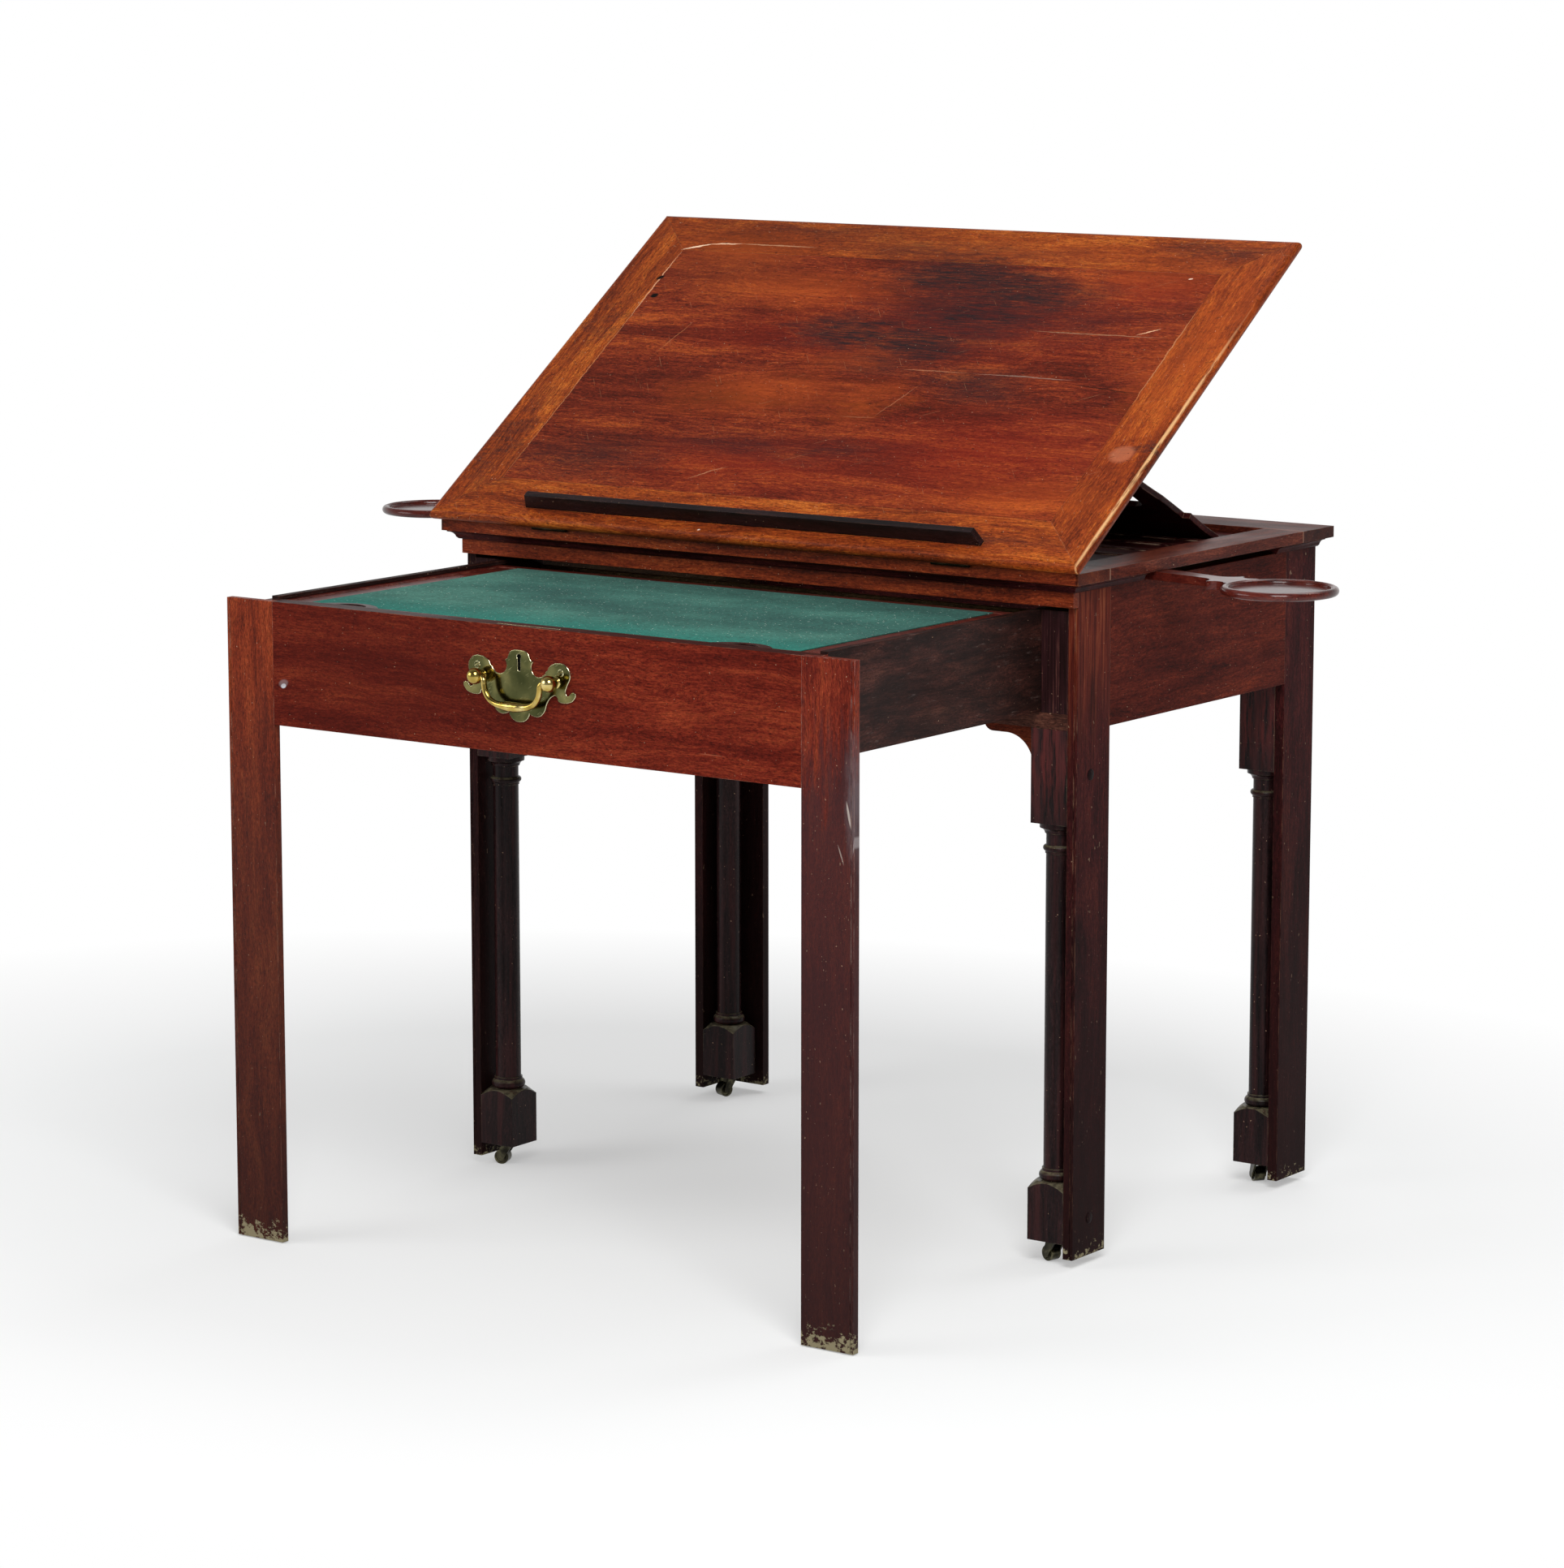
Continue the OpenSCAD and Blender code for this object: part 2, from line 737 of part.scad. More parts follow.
// Moving leaves of the top's hinges, let into the border's underside.
module top_hinge_straps() {
  color(BRASS) placed() on_top() for (side = [-1, 1])
    translate([side * hinge_span / 2, hinge_y, hinge_z]) union() {
      knuckles(hinge_r, hinge_pin_r, hinge_len, true);
      leaf(hinge_r, hinge_pin_r, hinge_len, leaf_back - hinge_y, true,
        top_low - hinge_z, top_low + leaf_t - hinge_z);
    }
}

// Rounded outline of a border's outer edge, x inwards and y up.
module edge_profile(wide) {
  r = top_t / 2;
  union() {
    translate([r, r]) circle(r = r);
    translate([r, 0]) square([wide - r, top_t]);
  }
}

// One mitred border along X with its outer edge at y = 0.
module border(len) {
  difference() {
    translate([-len / 2, 0, 0]) rotate([90, 0, 90]) linear_extrude(len) edge_profile(border_w);
    for (side = [-1, 1]) translate([side * len / 2, 0, -1]) rotate([0, 0, side * 45])
      translate([side > 0 ? 0 : -2 * border_w, -2 * border_w, 0])
        cube([2 * border_w, 4 * border_w, top_t + 2]);
  }
}

// Space that the book rest slides in, drawn for the closed top.
module book_rest_room(gap) {
  y_at = top_front + book_rest_y;
  floor_z = top_high - book_rest_up - book_rest_in - 0.6;
  box([-book_rest_len / 2 - gap, y_at - book_rest_t / 2 - gap, floor_z - gap],
    [book_rest_len / 2 + gap, y_at + book_rest_t / 2 + gap, top_high + 1]);
}

module top_border_front() {
  color(WOOD) placed() on_top() difference() {
    translate([0, top_front, top_low]) border(2 * top_x);
    book_rest_room(slide_gap);
    for (side = [-1, 1]) translate([side * hinge_span / 2, 0, 0]) {
      box([-hinge_len / 2, hinge_y, top_low - 1], [hinge_len / 2, leaf_back, top_low + leaf_t]);
      translate([0, hinge_y, hinge_z]) bar_x(hinge_r + hinge_gap, hinge_len + 2 * hinge_gap);
    }
  }
}

module top_border_back() {
  color(WOOD) placed() on_top() translate([0, top_back, top_low]) rotate([0, 0, 180]) border(2 * top_x);
}

module top_border_side(side) {
  mid = (top_front + top_back) / 2;
  color(WOOD) placed() on_top() translate([side * top_x, mid, top_low]) rotate([0, 0, side * 90])
    border(top_back - top_front);
}

module top_border_left() {
  top_border_side(-1);
}

module top_border_right() {
  top_border_side(1);
}

// Panel of the top, hollowed underneath for the folded easel and its hinges.
module top_panel() {
  px = top_x - border_w;
  color(WOOD) placed() on_top() difference() {
    box([-px, top_front + border_w, panel_low_z], [px, top_back - border_w, top_high]);
    for (side = [-1, 1]) translate([side * easel_hinge_span / 2, 0, 0]) {
      box([-easel_hinge_len / 2, easel_pin_y - easel_leaf_w, panel_low_z - 1],
        [easel_hinge_len / 2, easel_pin_y, panel_low_z + leaf_t]);
      translate([0, easel_pin_y, easel_pin_z])
        bar_x(easel_hinge_r + hinge_gap, easel_hinge_len + 2 * hinge_gap);
    }
  }
}

// Leaves of the easel's hinges, let into the panel's underside.
module easel_hinge_leaves() {
  color(BRASS) placed() on_top() for (side = [-1, 1])
    translate([side * easel_hinge_span / 2, easel_pin_y, easel_pin_z]) mirror([0, 1, 0]) union() {
      knuckles(easel_hinge_r, easel_pin_r, easel_hinge_len, false);
      leaf(easel_hinge_r, 0, easel_hinge_len, easel_leaf_w, false,
        panel_low_z - easel_pin_z, panel_low_z + leaf_t - easel_pin_z);
    }
}

// Knuckles and leaves screwed to the easel.
module easel_hinge_knuckles() {
  high = easel_mid_closed + easel_t / 2 - easel_pin_z;
  color(BRASS) placed() on_easel() for (side = [-1, 1])
    translate([side * easel_hinge_span / 2, easel_pin_y, easel_pin_z]) union() {
      knuckles(easel_hinge_r, easel_pin_r, easel_hinge_len, true);
      leaf(easel_hinge_r, easel_pin_r, easel_hinge_len, easel_leaf_w, true, high - leaf_t, high);
    }
}

// Extrudes a flat outline of the easel, x sideways and y from its pivot.
module easel_board() {
  translate([0, easel_pin_y, easel_mid_closed - easel_t / 2]) linear_extrude(easel_t) children();
}

// Room for the easel's hinges in its top rail.
module easel_hinge_room() {
  for (side = [-1, 1]) translate([side * easel_hinge_span / 2, easel_pin_y, 0]) {
    box([-easel_hinge_len / 2, -1, easel_mid_closed + easel_t / 2 - leaf_t],
      [easel_hinge_len / 2, easel_leaf_w, easel_mid_closed + easel_t]);
    translate([0, 0, easel_pin_z]) bar_x(easel_hinge_r + hinge_gap, easel_hinge_len + 2 * hinge_gap);
  }
}

module easel_top_rail() {
  x_in = easel_side_x - easel_side_w;
  color(DARK) placed() on_easel() difference() {
    easel_board() translate([-x_in, easel_start]) square([2 * x_in, easel_top_rail]);
    easel_hinge_room();
  }
}

// Side member with the hollow sweep of its outer edge and an arched inner corner.
module easel_side(side) {
  x_in = easel_side_x - easel_side_w;
  arch_r = 16;
  sweep_r = 420;
  color(DARK) placed() on_easel() sided(side) easel_board() difference() {
    union() {
      translate([x_in, easel_start]) square([easel_side_w, easel_rail_y - easel_start]);
      translate([x_in - arch_r, easel_rail_y - arch_r]) square([arch_r + 1, arch_r]);
      translate([x_in - arch_r, easel_top_rail + easel_start]) square([arch_r + 1, arch_r]);
    }
    translate([x_in - arch_r, easel_rail_y - arch_r]) circle(r = arch_r);
    translate([x_in - arch_r, easel_top_rail + easel_start + arch_r]) circle(r = arch_r);
    translate([easel_side_x + sweep_r - 5, easel_rail_y / 2]) circle(r = sweep_r, $fn = 180);
  }
}

module easel_side_left() {
  easel_side(-1);
}

module easel_side_right() {
  easel_side(1);
}

// Foot rail with cusped ogee ends and a rounded lower edge.
module easel_foot_rail_board() {
  x_foot = easel_foot_w / 2;
  cusp = 28;
  end = easel_len + foot_r;
  hollow_r = 300;
  difference() {
    translate([-x_foot, easel_rail_y]) square([2 * x_foot, easel_foot_rail]);
    for (side = [-1, 1]) {
      translate([side * (x_foot + easel_side_x) / 2 + side * (x_foot - easel_side_x) / 2, easel_rail_y - 1])
        translate([side > 0 ? -(x_foot - easel_side_x) : 0, 0]) square([x_foot - easel_side_x, cusp + 1]);
      translate([side * (x_foot + hollow_r - 4), end - 36]) circle(r = hollow_r, $fn = 180);
    }
  }
}

module easel_foot_rail() {
  x_foot = easel_foot_w / 2;
  round_y = easel_pin_y + easel_len;
  color(DARK) placed() on_easel() difference() {
    easel_board() easel_foot_rail_board();
    difference() {
      box([-x_foot - 1, round_y, easel_mid_closed - easel_t],
        [x_foot + 1, round_y + easel_t, easel_mid_closed + easel_t]);
      translate([0, round_y, easel_mid_closed]) bar_x(foot_r, 2 * x_foot + 4);
    }
  }
}

// Ledge that slides up through the top, with sloped ends.
module book_rest() {
  y_at = top_front + book_rest_y;
  high = book_rest_up;
  low = -book_rest_in;
  x_low = book_rest_len / 2;
  x_high = x_low - book_rest_slope;
  color(DARK) placed() on_top() translate([0, y_at + book_rest_t / 2, top_high]) rotate([90, 0, 0])
    linear_extrude(book_rest_t)
    polygon([[-x_low, low], [x_low, low], [x_low, 0], [x_high, high], [-x_high, high], [-x_low, 0]]);
}

// Drawer front of an outer and an inner layer.
module drawer_front() {
  rail_x = half_w - drawer_leg_w;
  color(WOOD) placed() on_drawer() union() {
    box([-rail_x, 0, drawer_front_low], [rail_x, face_back, drawer_front_top]);
    box([-box_x, face_back, side_low], [box_x, inner_back, drawer_front_top]);
  }
}

// Leg that hangs from the drawer's front, with a bead down its outer edge.
module drawer_leg(side) {
  color(WOOD) placed() on_drawer() sided(side) difference() {
    box([half_w - drawer_leg_w, 0, drawer_leg_gap], [half_w, face_back, drawer_front_top]);
    box([half_w - bead_w - 0.9, -1, -1], [half_w - bead_w, 0.9, drawer_front_top + 1]);
  }
}

module drawer_leg_left() {
  drawer_leg(-1);
}

module drawer_leg_right() {
  drawer_leg(1);
}

// Drawer side, grooved inside for the writing slide.
module drawer_side(side) {
  color(WOOD) placed() on_drawer() sided(side) difference() {
    box([box_x - drawer_side_t, inner_back, side_low], [box_x, face_back + drawer_d, drawer_side_top]);
    box([box_x - drawer_side_t - 1, inner_back - 1, slide_low - slide_gap],
      [box_x - drawer_side_t + groove_d, face_back + drawer_d + 1, slide_top + slide_gap]);
  }
}

module drawer_side_left() {
  drawer_side(-1);
}

module drawer_side_right() {
  drawer_side(1);
}

module drawer_back() {
  bx = box_x - drawer_side_t;
  color(PALE) placed() on_drawer() box([-bx, face_back + drawer_d - drawer_back_t, side_low],
    [bx, face_back + drawer_d, slide_low - slide_gap]);
}

module drawer_bottom() {
  bx = box_x - drawer_side_t;
  low = side_low + drawer_bottom_up;
  color(PALE) placed() on_drawer()
    box([-bx, inner_back, low], [bx, face_back + drawer_d - drawer_back_t, low + drawer_bottom_t]);
}

// Outline of the back plate about the middle between its posts.
module plate_outline() {
  post_x = 51.5;
  scale(post_span / 103) difference() {
    union() {
      translate([0, 17]) circle(r = 14.6);
      translate([0, -10]) circle(r = 31);
      translate([0, -36]) circle(r = 12);
      translate([-post_x, -19]) square([2 * post_x, 24]);
      for (side = [-1, 1]) {
        translate([side * 23, -28.5]) circle(r = 11.5);
        translate([side * (post_x + 1.5), 6]) circle(r = 15.7);
        translate([side * (post_x + 8.5), -13]) circle(r = 9.5);
        translate([side * (post_x + 19), -15.5]) circle(r = 6);
      }
    }
    for (side = [-1, 1]) {
      translate([side * 27, 17]) circle(r = 13);
      translate([side * (post_x + 24), -3]) circle(r = 7.4);
      translate([side * 45, -31]) circle(r = 11.5);
    }
    translate([0, 23.5]) circle(r = 2.8);
    translate([-1.7, 8]) square([3.4, 15]);
  }
}

// Turned post with a ball head, standing up along Z.
module ball_post() {
  rotate_extrude() difference() {
    union() {
      square([post_neck_r, ball_y]);
      square([post_neck_r + 2.4, plate_t + 2]);
      translate([0, ball_y]) circle(r = ball_r);
    }
    translate([-4 * ball_r, -2 * ball_y]) square([4 * ball_r, 4 * ball_y]);
  }
}

// Pierced back plate with its two ball posts.
module handle_plate() {
  color(BRASS) placed() on_drawer() translate([-handle_shift, 0, handle_z]) difference() {
    union() {
      rotate([90, 0, 0]) linear_extrude(plate_t) plate_outline();
      for (side = [-1, 1]) translate([side * post_span / 2, 0, 0]) rotate([90, 45, 0]) ball_post();
    }
    translate([0, -ball_y, 0]) bar_x(bail_pin_r + run_gap, post_span + 2);
  }
}

// Half outline of the bail's thickened lower bar, r from its middle line.
module bail_bar_outline() {
  half = bail_span / 2 - bail_bend_r;
  polygon([[0, -half], [bail_r, -half], [bail_r, -half * 0.6], [bail_r + 1, -half * 0.3], [bail_r + 1, -2],
    [bail_r + 2, -1.2], [bail_r + 2, 1.2], [bail_r + 1, 2], [bail_r + 1, half * 0.3], [bail_r, half * 0.6],
    [bail_r, half], [0, half]]);
}

// Bail hung between the posts.
module bail() {
  arm_x = bail_span / 2;
  pin_len = (post_span - bail_span) / 2;
  arm_low = bail_drop - bail_bend_r;
  color(BRASS) placed() on_drawer() translate([-handle_shift, -ball_y, handle_z]) union() {
    for (side = [-1, 1]) sided(side) {
      translate([arm_x + pin_len / 2, 0, 0]) bar_x(bail_pin_r, pin_len);
      translate([arm_x, 0, -arm_low]) cylinder(r = bail_r, h = arm_low + bail_r);
      translate([arm_x - bail_bend_r, 0, -arm_low]) rotate([90, 0, 0]) rotate([0, 0, -90])
        rotate_extrude(angle = 90) translate([bail_bend_r, 0]) circle(r = bail_r);
    }
    translate([0, 0, -bail_drop]) rotate([0, 90, 0]) rotate_extrude() bail_bar_outline();
  }
}

// Outline of one finger pull, x sideways and y back from the slide's front edge.
module pull_outline() {
  r = (pull_w * pull_w / 4 + pull_d * pull_d) / (2 * pull_d);
  intersection() {
    translate([0, pull_d - r]) circle(r = r, $fn = 96);
    translate([-pull_w, 0]) square([2 * pull_w, pull_d + 1]);
  }
}

// D-shaped finger hole of a pull.
module pull_hole() {
  r = (pull_hole_w * pull_hole_w / 4 + pull_hole_d * pull_hole_d) / (2 * pull_hole_d);
  translate([0, 3]) intersection() {
    translate([0, pull_hole_d - r]) circle(r = r, $fn = 96);
    translate([-pull_hole_w, 0]) square([2 * pull_hole_w, pull_hole_d + 1]);
  }
}

// Board of the writing slide, let in for the baize and holed for fingers.
module slide_board() {
  m = baize_margin;
  color(WOOD) placed() on_drawer() difference() {
    box([-slide_x, slide_front, slide_low], [slide_x, slide_front + slide_d, slide_top]);
    box([-slide_x + m, slide_front + m, slide_top - baize_t],
      [slide_x - m, slide_front + slide_d - m, slide_top + 1]);
    for (side = [-1, 1]) translate([side * pull_at, slide_front, 0]) {
      translate([0, 0, pull_low]) linear_extrude(baize_t + 1) pull_outline();
      translate([0, 0, slide_low - 1]) linear_extrude(slide_t + 2) pull_hole();
    }
  }
}

module baize() {
  m = baize_margin;
  color(GREEN) placed() on_drawer() difference() {
    box([-slide_x + m, slide_front + m, slide_top - baize_t],
      [slide_x - m, slide_front + slide_d - m, slide_top]);
    for (side = [-1, 1]) translate([side * pull_at, slide_front, slide_top - baize_t - 1])
      linear_extrude(baize_t + 2) pull_outline();
  }
}

// Half-moon finger pulls in the slide's front edge.
module finger_pulls() {
  color(WOOD) placed() on_drawer() for (side = [-1, 1]) translate([side * pull_at, slide_front, pull_low])
    linear_extrude(pull_t) difference() {
      pull_outline();
      pull_hole();
    }
}

// Half of the arm beyond its waist: a hollow out to the cusp, and one back to the dish.
module cusp_outline() {
  cusp_x = stand_reach - dish_r - 16;
  nose_y = stand_cusp - cusp_r;
  sweep_r = 24;
  bay_r = 12;
  difference() {
    union() {
      translate([cusp_x - sweep_r + 1, 0]) square([sweep_r + 26, nose_y - 1]);
      translate([cusp_x, nose_y]) circle(r = cusp_r);
    }
    translate([cusp_x - sweep_r - 1.6, stand_waist + sweep_r - 0.6]) circle(r = sweep_r);
    translate([cusp_x + 11, nose_y + 6]) circle(r = bay_r);
  }
}

// Outline of a stand's arm, its pivot at the origin and its dish along +x.
module arm_outline() {
  waist_x = stand_reach - dish_r - 46;
  difference() {
    union() {
      circle(r = stand_arm_r);
      polygon([[0, -stand_arm_r + 0.4], [waist_x, -stand_waist],
        [waist_x, stand_waist], [0, stand_arm_r - 0.4]]);
      translate([waist_x - 1, -stand_waist]) square([46, 2 * stand_waist]);
      cusp_outline();
      mirror([0, 1]) cusp_outline();
    }
    translate([stand_reach, 0]) circle(r = dish_r - stand_t / 2, $fn = 96);
  }
}

// Half section of the dish with its round rim and inner step.
module dish_profile() {
  round_r = stand_t / 2;
  rim_in = dish_r - dish_rim;
  flat = 1.4;
  union() {
    square([dish_r - round_r, stand_t - dish_depth]);
    translate([rim_in, 0]) square([dish_rim - round_r, stand_t - dish_step]);
    translate([dish_r - round_r - flat, 0]) square([flat, stand_t]);
    translate([dish_r - round_r, round_r]) circle(r = round_r, $fn = 20);
  }
}

// Candle stand: a swinging arm with cusps and a moulded dish.
module candle_stand(side, angle) {
  color(WOOD) placed() sided(side) translate([pivot_x, stand_pivot_y, stand_low]) rotate([0, 0, -angle])
    difference() {
      union() {
        linear_extrude(stand_t) arm_outline();
        translate([stand_reach, 0, 0]) rotate_extrude($fn = 72) dish_profile();
      }
      translate([0, 0, -1]) cylinder(r = stand_pin_r + run_gap, h = stand_t + 2);
    }
}

module candle_stand_left() {
  candle_stand(-1, stand_angle_left);
}

module candle_stand_right() {
  candle_stand(1, stand_angle_right);
}

// Places a caster under a column, trailing towards its swivel angle.
module at_caster(x_side, y_at, turn) {
  translate([x_side * column_x, y_at, 0]) rotate([0, 0, turn]) children();
}

// Brass fork: crown disc, stem and two cheeks round the wheel, with the axle.
module caster_fork(x_side, y_at, turn) {
  gap = 0.4;
  cheek_y = wheel_w / 2 + gap;
  color(BRASS) placed() at_caster(x_side, y_at, turn) union() {
    translate([0, 0, fork_high - 3]) cylinder(r = fork_crown_r, h = 3);
    translate([0, 0, fork_high - 1]) cylinder(r = stem_r, h = stem_h);
    translate([caster_trail, 0, wheel_r]) rotate([90, 0, 0])
      cylinder(r = axle_r, h = 2 * cheek_y + 2 * fork_t, center = true);
    for (side = [-1, 1]) translate([0, side * (cheek_y + fork_t / 2), 0]) rotate([90, 0, 0])
      linear_extrude(fork_t, center = true) union() {
        translate([caster_trail, wheel_r]) circle(r = 4.6);
        polygon([[caster_trail - 4.6, wheel_r], [caster_trail + 4.6, wheel_r],
          [7, fork_high - 2], [-7, fork_high - 2]]);
      }
  }
}

// Half section of a wheel: hub, dished face and rim, y along its axle.
module wheel_profile() {
  half = wheel_w / 2;
  bore = axle_r + run_gap;
  hub = bore + 2.4;
  rim = wheel_r - 2.2;
  dished = half - 1.4;
  polygon([[bore, -half], [hub, -half], [hub, -dished], [rim, -dished], [rim, -half],
    [wheel_r, -half], [wheel_r, half], [rim, half], [rim, dished], [hub, dished],
    [hub, half], [bore, half]]);
}

// Wheel with dished faces and a running bore.
module caster_wheel(x_side, y_at, turn) {
  color(BRASS) placed() at_caster(x_side, y_at, turn) translate([caster_trail, 0, wheel_r])
    rotate([90, 0, 0]) rotate_extrude() wheel_profile();
}

module caster_fork_front_left() {
  caster_fork(-1, column_front_y, turn_fl);
}

module caster_fork_front_right() {
  caster_fork(1, column_front_y, turn_fr);
}

module caster_fork_back_left() {
  caster_fork(-1, column_back_y, turn_bl);
}

module caster_fork_back_right() {
  caster_fork(1, column_back_y, turn_br);
}

module caster_wheel_front_left() {
  caster_wheel(-1, column_front_y, turn_fl);
}

module caster_wheel_front_right() {
  caster_wheel(1, column_front_y, turn_fr);
}

module caster_wheel_back_left() {
  caster_wheel(-1, column_back_y, turn_bl);
}

module caster_wheel_back_right() {
  caster_wheel(1, column_back_y, turn_br);
}

leg_board_front_left();
leg_board_front_right();
leg_board_back_left();
leg_board_back_right();
side_panel_left();
side_panel_right();
back_panel();
frieze_rail();
bearer_rail();
bracket_left();
bracket_right();
column_front_left();
column_front_right();
column_back_left();
column_back_right();
drawer_guides();
frame_rail_front();
frame_rail_back();
frame_rail_left();
frame_rail_right();
cove_moulding();
dust_board();
ratchet_board();
stand_pivots();
top_hinge_leaves();
top_panel();
top_border_front();
top_border_back();
top_border_left();
top_border_right();
top_hinge_straps();
easel_hinge_leaves();
easel_foot_rail();
easel_side_left();
easel_side_right();
easel_top_rail();
easel_hinge_knuckles();
book_rest();
drawer_front();
drawer_leg_left();
drawer_leg_right();
drawer_side_left();
drawer_side_right();
drawer_back();
drawer_bottom();
handle_plate();
bail();
slide_board();
baize();
finger_pulls();
candle_stand_left();
candle_stand_right();
caster_fork_front_left();
caster_fork_front_right();
caster_fork_back_left();
caster_fork_back_right();
caster_wheel_front_left();
caster_wheel_front_right();
caster_wheel_back_left();
caster_wheel_back_right();
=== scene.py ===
import bpy
import math
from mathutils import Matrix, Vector


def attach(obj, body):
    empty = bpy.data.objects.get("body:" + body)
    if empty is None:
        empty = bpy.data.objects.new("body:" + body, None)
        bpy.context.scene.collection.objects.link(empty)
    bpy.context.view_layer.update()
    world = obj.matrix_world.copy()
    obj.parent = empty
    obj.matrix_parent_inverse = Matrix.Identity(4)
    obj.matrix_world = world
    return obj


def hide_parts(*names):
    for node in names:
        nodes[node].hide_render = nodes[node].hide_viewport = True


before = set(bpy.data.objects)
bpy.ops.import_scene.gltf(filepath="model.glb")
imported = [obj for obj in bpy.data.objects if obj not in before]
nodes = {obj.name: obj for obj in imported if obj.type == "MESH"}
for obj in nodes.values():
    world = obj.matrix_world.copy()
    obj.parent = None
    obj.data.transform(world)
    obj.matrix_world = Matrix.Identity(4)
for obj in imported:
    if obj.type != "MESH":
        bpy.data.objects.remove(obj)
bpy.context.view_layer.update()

# From the frieze's front back to the frame's origin in mm, and the slope at which the top stands.
Y_MID = 51.45
TILT = math.radians(35)


def at(x, y, z):
    """A point measured in mm from the frieze's front, in the frame's metres."""
    return Vector((x / 1000, (y - Y_MID) / 1000, z / 1000))


# The top's hinge pin and how far the top's front edge lies beyond it, in mm.
HINGE_Y, HINGE_Z, PAST_HINGE = -21.1, 796.9, 4.9
# That front edge, measured up the slope in metres, with the top raised.
TOP_EDGE = ((HINGE_Y - Y_MID) * math.cos(TILT) + HINGE_Z * math.sin(TILT) - PAST_HINGE) / 1000


# ---------- materials ----------

# A Mix node of colours: its share in input 0, its colours in 6 and 7, and its result in output 2.
MIXED = {"out": 2, "data_type": "RGBA"}


def linear(code):
    """An sRGB hex colour as linear numbers."""
    part = [int(code[i:i + 2], 16) / 255 for i in (1, 3, 5)]
    return tuple(c / 12.92 if c <= 0.04045 else ((c + 0.055) / 1.055) ** 2.4 for c in part) + (1.0,)


def add(tree, kind, inputs=None, stops=(), out=0, **settings):
    """One node with its settings, inputs (links, numbers, hex colours) and ramp stops; gives one output."""
    made = tree.nodes.new("ShaderNode" + kind)
    for key, value in settings.items():
        setattr(made, key, value)
    for key, value in (inputs or {}).items():
        if isinstance(value, bpy.types.NodeSocket):
            tree.links.new(value, made.inputs[key])
        else:
            made.inputs[key].default_value = linear(value) if isinstance(value, str) else value
    for index, (where, tone) in enumerate(stops):
        band = made.color_ramp.elements
        step = band[index] if index < 2 else band.new(where)
        step.position = where
        step.color = linear(tone) if isinstance(tone, str) else (tone, tone, tone, 1)
    return made.outputs[out] if made.outputs else made


def start(name):
    """A new material with an empty tree, and the coordinates that its patterns lie in."""
    mat = bpy.data.materials.new(name)
    mat.use_nodes = True
    tree = mat.node_tree
    tree.nodes.clear()
    return mat, tree, add(tree, "TexCoord", out="Object")


def closed(mat, look):
    """Ends a material with its shader and output."""
    tree = mat.node_tree
    add(tree, "OutputMaterial", {"Surface": add(tree, "BsdfPrincipled", look)})
    return mat


def cloud(tree, where, size, detail=3.0, rough=0.55, twist=0.0):
    """Noise whose size is given in metres along each direction."""
    drawn = add(tree, "VectorMath", {0: where, 1: tuple(1 / s for s in size)}, operation="MULTIPLY")
    return add(tree, "TexNoise",
               {"Vector": drawn, "Scale": 1.0, "Detail": detail, "Roughness": rough, "Distortion": twist})


def mottled(tree, where, size, stops, detail=3.0, rough=0.55):
    """Noise cut into patches by a ramp's stops."""
    return add(tree, "ValToRGB", {0: cloud(tree, where, size, detail, rough)}, stops)


def spot(tree, where, centre, reach, turn=0.0):
    """A soft oval mark, 1 in its middle and 0 at its edge; with only two half sizes it runs right through."""
    moved = add(tree, "Mapping", {"Vector": where, "Location": tuple(centre) + (0,) * (3 - len(centre)),
                                  "Rotation": (0, 0, turn), "Scale": tuple(reach) + (10,) * (3 - len(reach))},
                vector_type="TEXTURE")
    return add(tree, "TexGradient", {"Vector": moved}, gradient_type="SPHERICAL", out="Fac")


def face_share(tree, axis, low, high, most):
    """A share that grows from 0 to its most as a face turns from low to high along an axis."""
    turn = add(tree, "SeparateXYZ", {0: add(tree, "TexCoord", out="Normal")}, out=axis)
    return add(tree, "MapRange", {0: turn, 1: low, 2: high, 3: 0.0, 4: most})


def ragged_height(tree, place, waver):
    """Height above the floor, made uneven by streaks that run down a leg."""
    height = add(tree, "SeparateXYZ", {0: place}, out="Z")
    streaks = cloud(tree, place, (0.012, 0.012, 0.12), 4, 0.65)
    return add(tree, "Math", {0: streaks, 1: waver, 2: height}, operation="MULTIPLY_ADD")


def laid_over(tree, colour, tint, share, strength):
    """A tint over a colour where two shares meet."""
    both = add(tree, "Math", {0: share, 1: strength}, operation="MULTIPLY")
    return add(tree, "Mix", {0: both, 6: colour, 7: tint}, **MIXED)


def edge_share(tree, radius):
    """How near a sharp edge a point lies, by the shader's own rounding of edges, and the rounded normal."""
    rounded = add(tree, "Bevel", {"Radius": radius}, samples=4)
    flat = add(tree, "NewGeometry", out="Normal")
    match = add(tree, "VectorMath", {0: rounded, 1: flat}, operation="DOT_PRODUCT", out="Value")
    return add(tree, "Math", {0: 1.0, 1: match}, operation="SUBTRACT"), rounded


# Turns that lay the grain along X, Y or Z, and along or up the tilted top; FACING lays X and Z as a page.
ALONG_X = (0, 0, 0)
ALONG_Y = (0, 0, -math.pi / 2)
ALONG_Z = (0, math.pi / 2, 0)
TOP_X = (-TILT, 0, 0)
TOP_UP = (-TILT, 0, -math.pi / 2)
FACING = (-math.pi / 2, 0, 0)


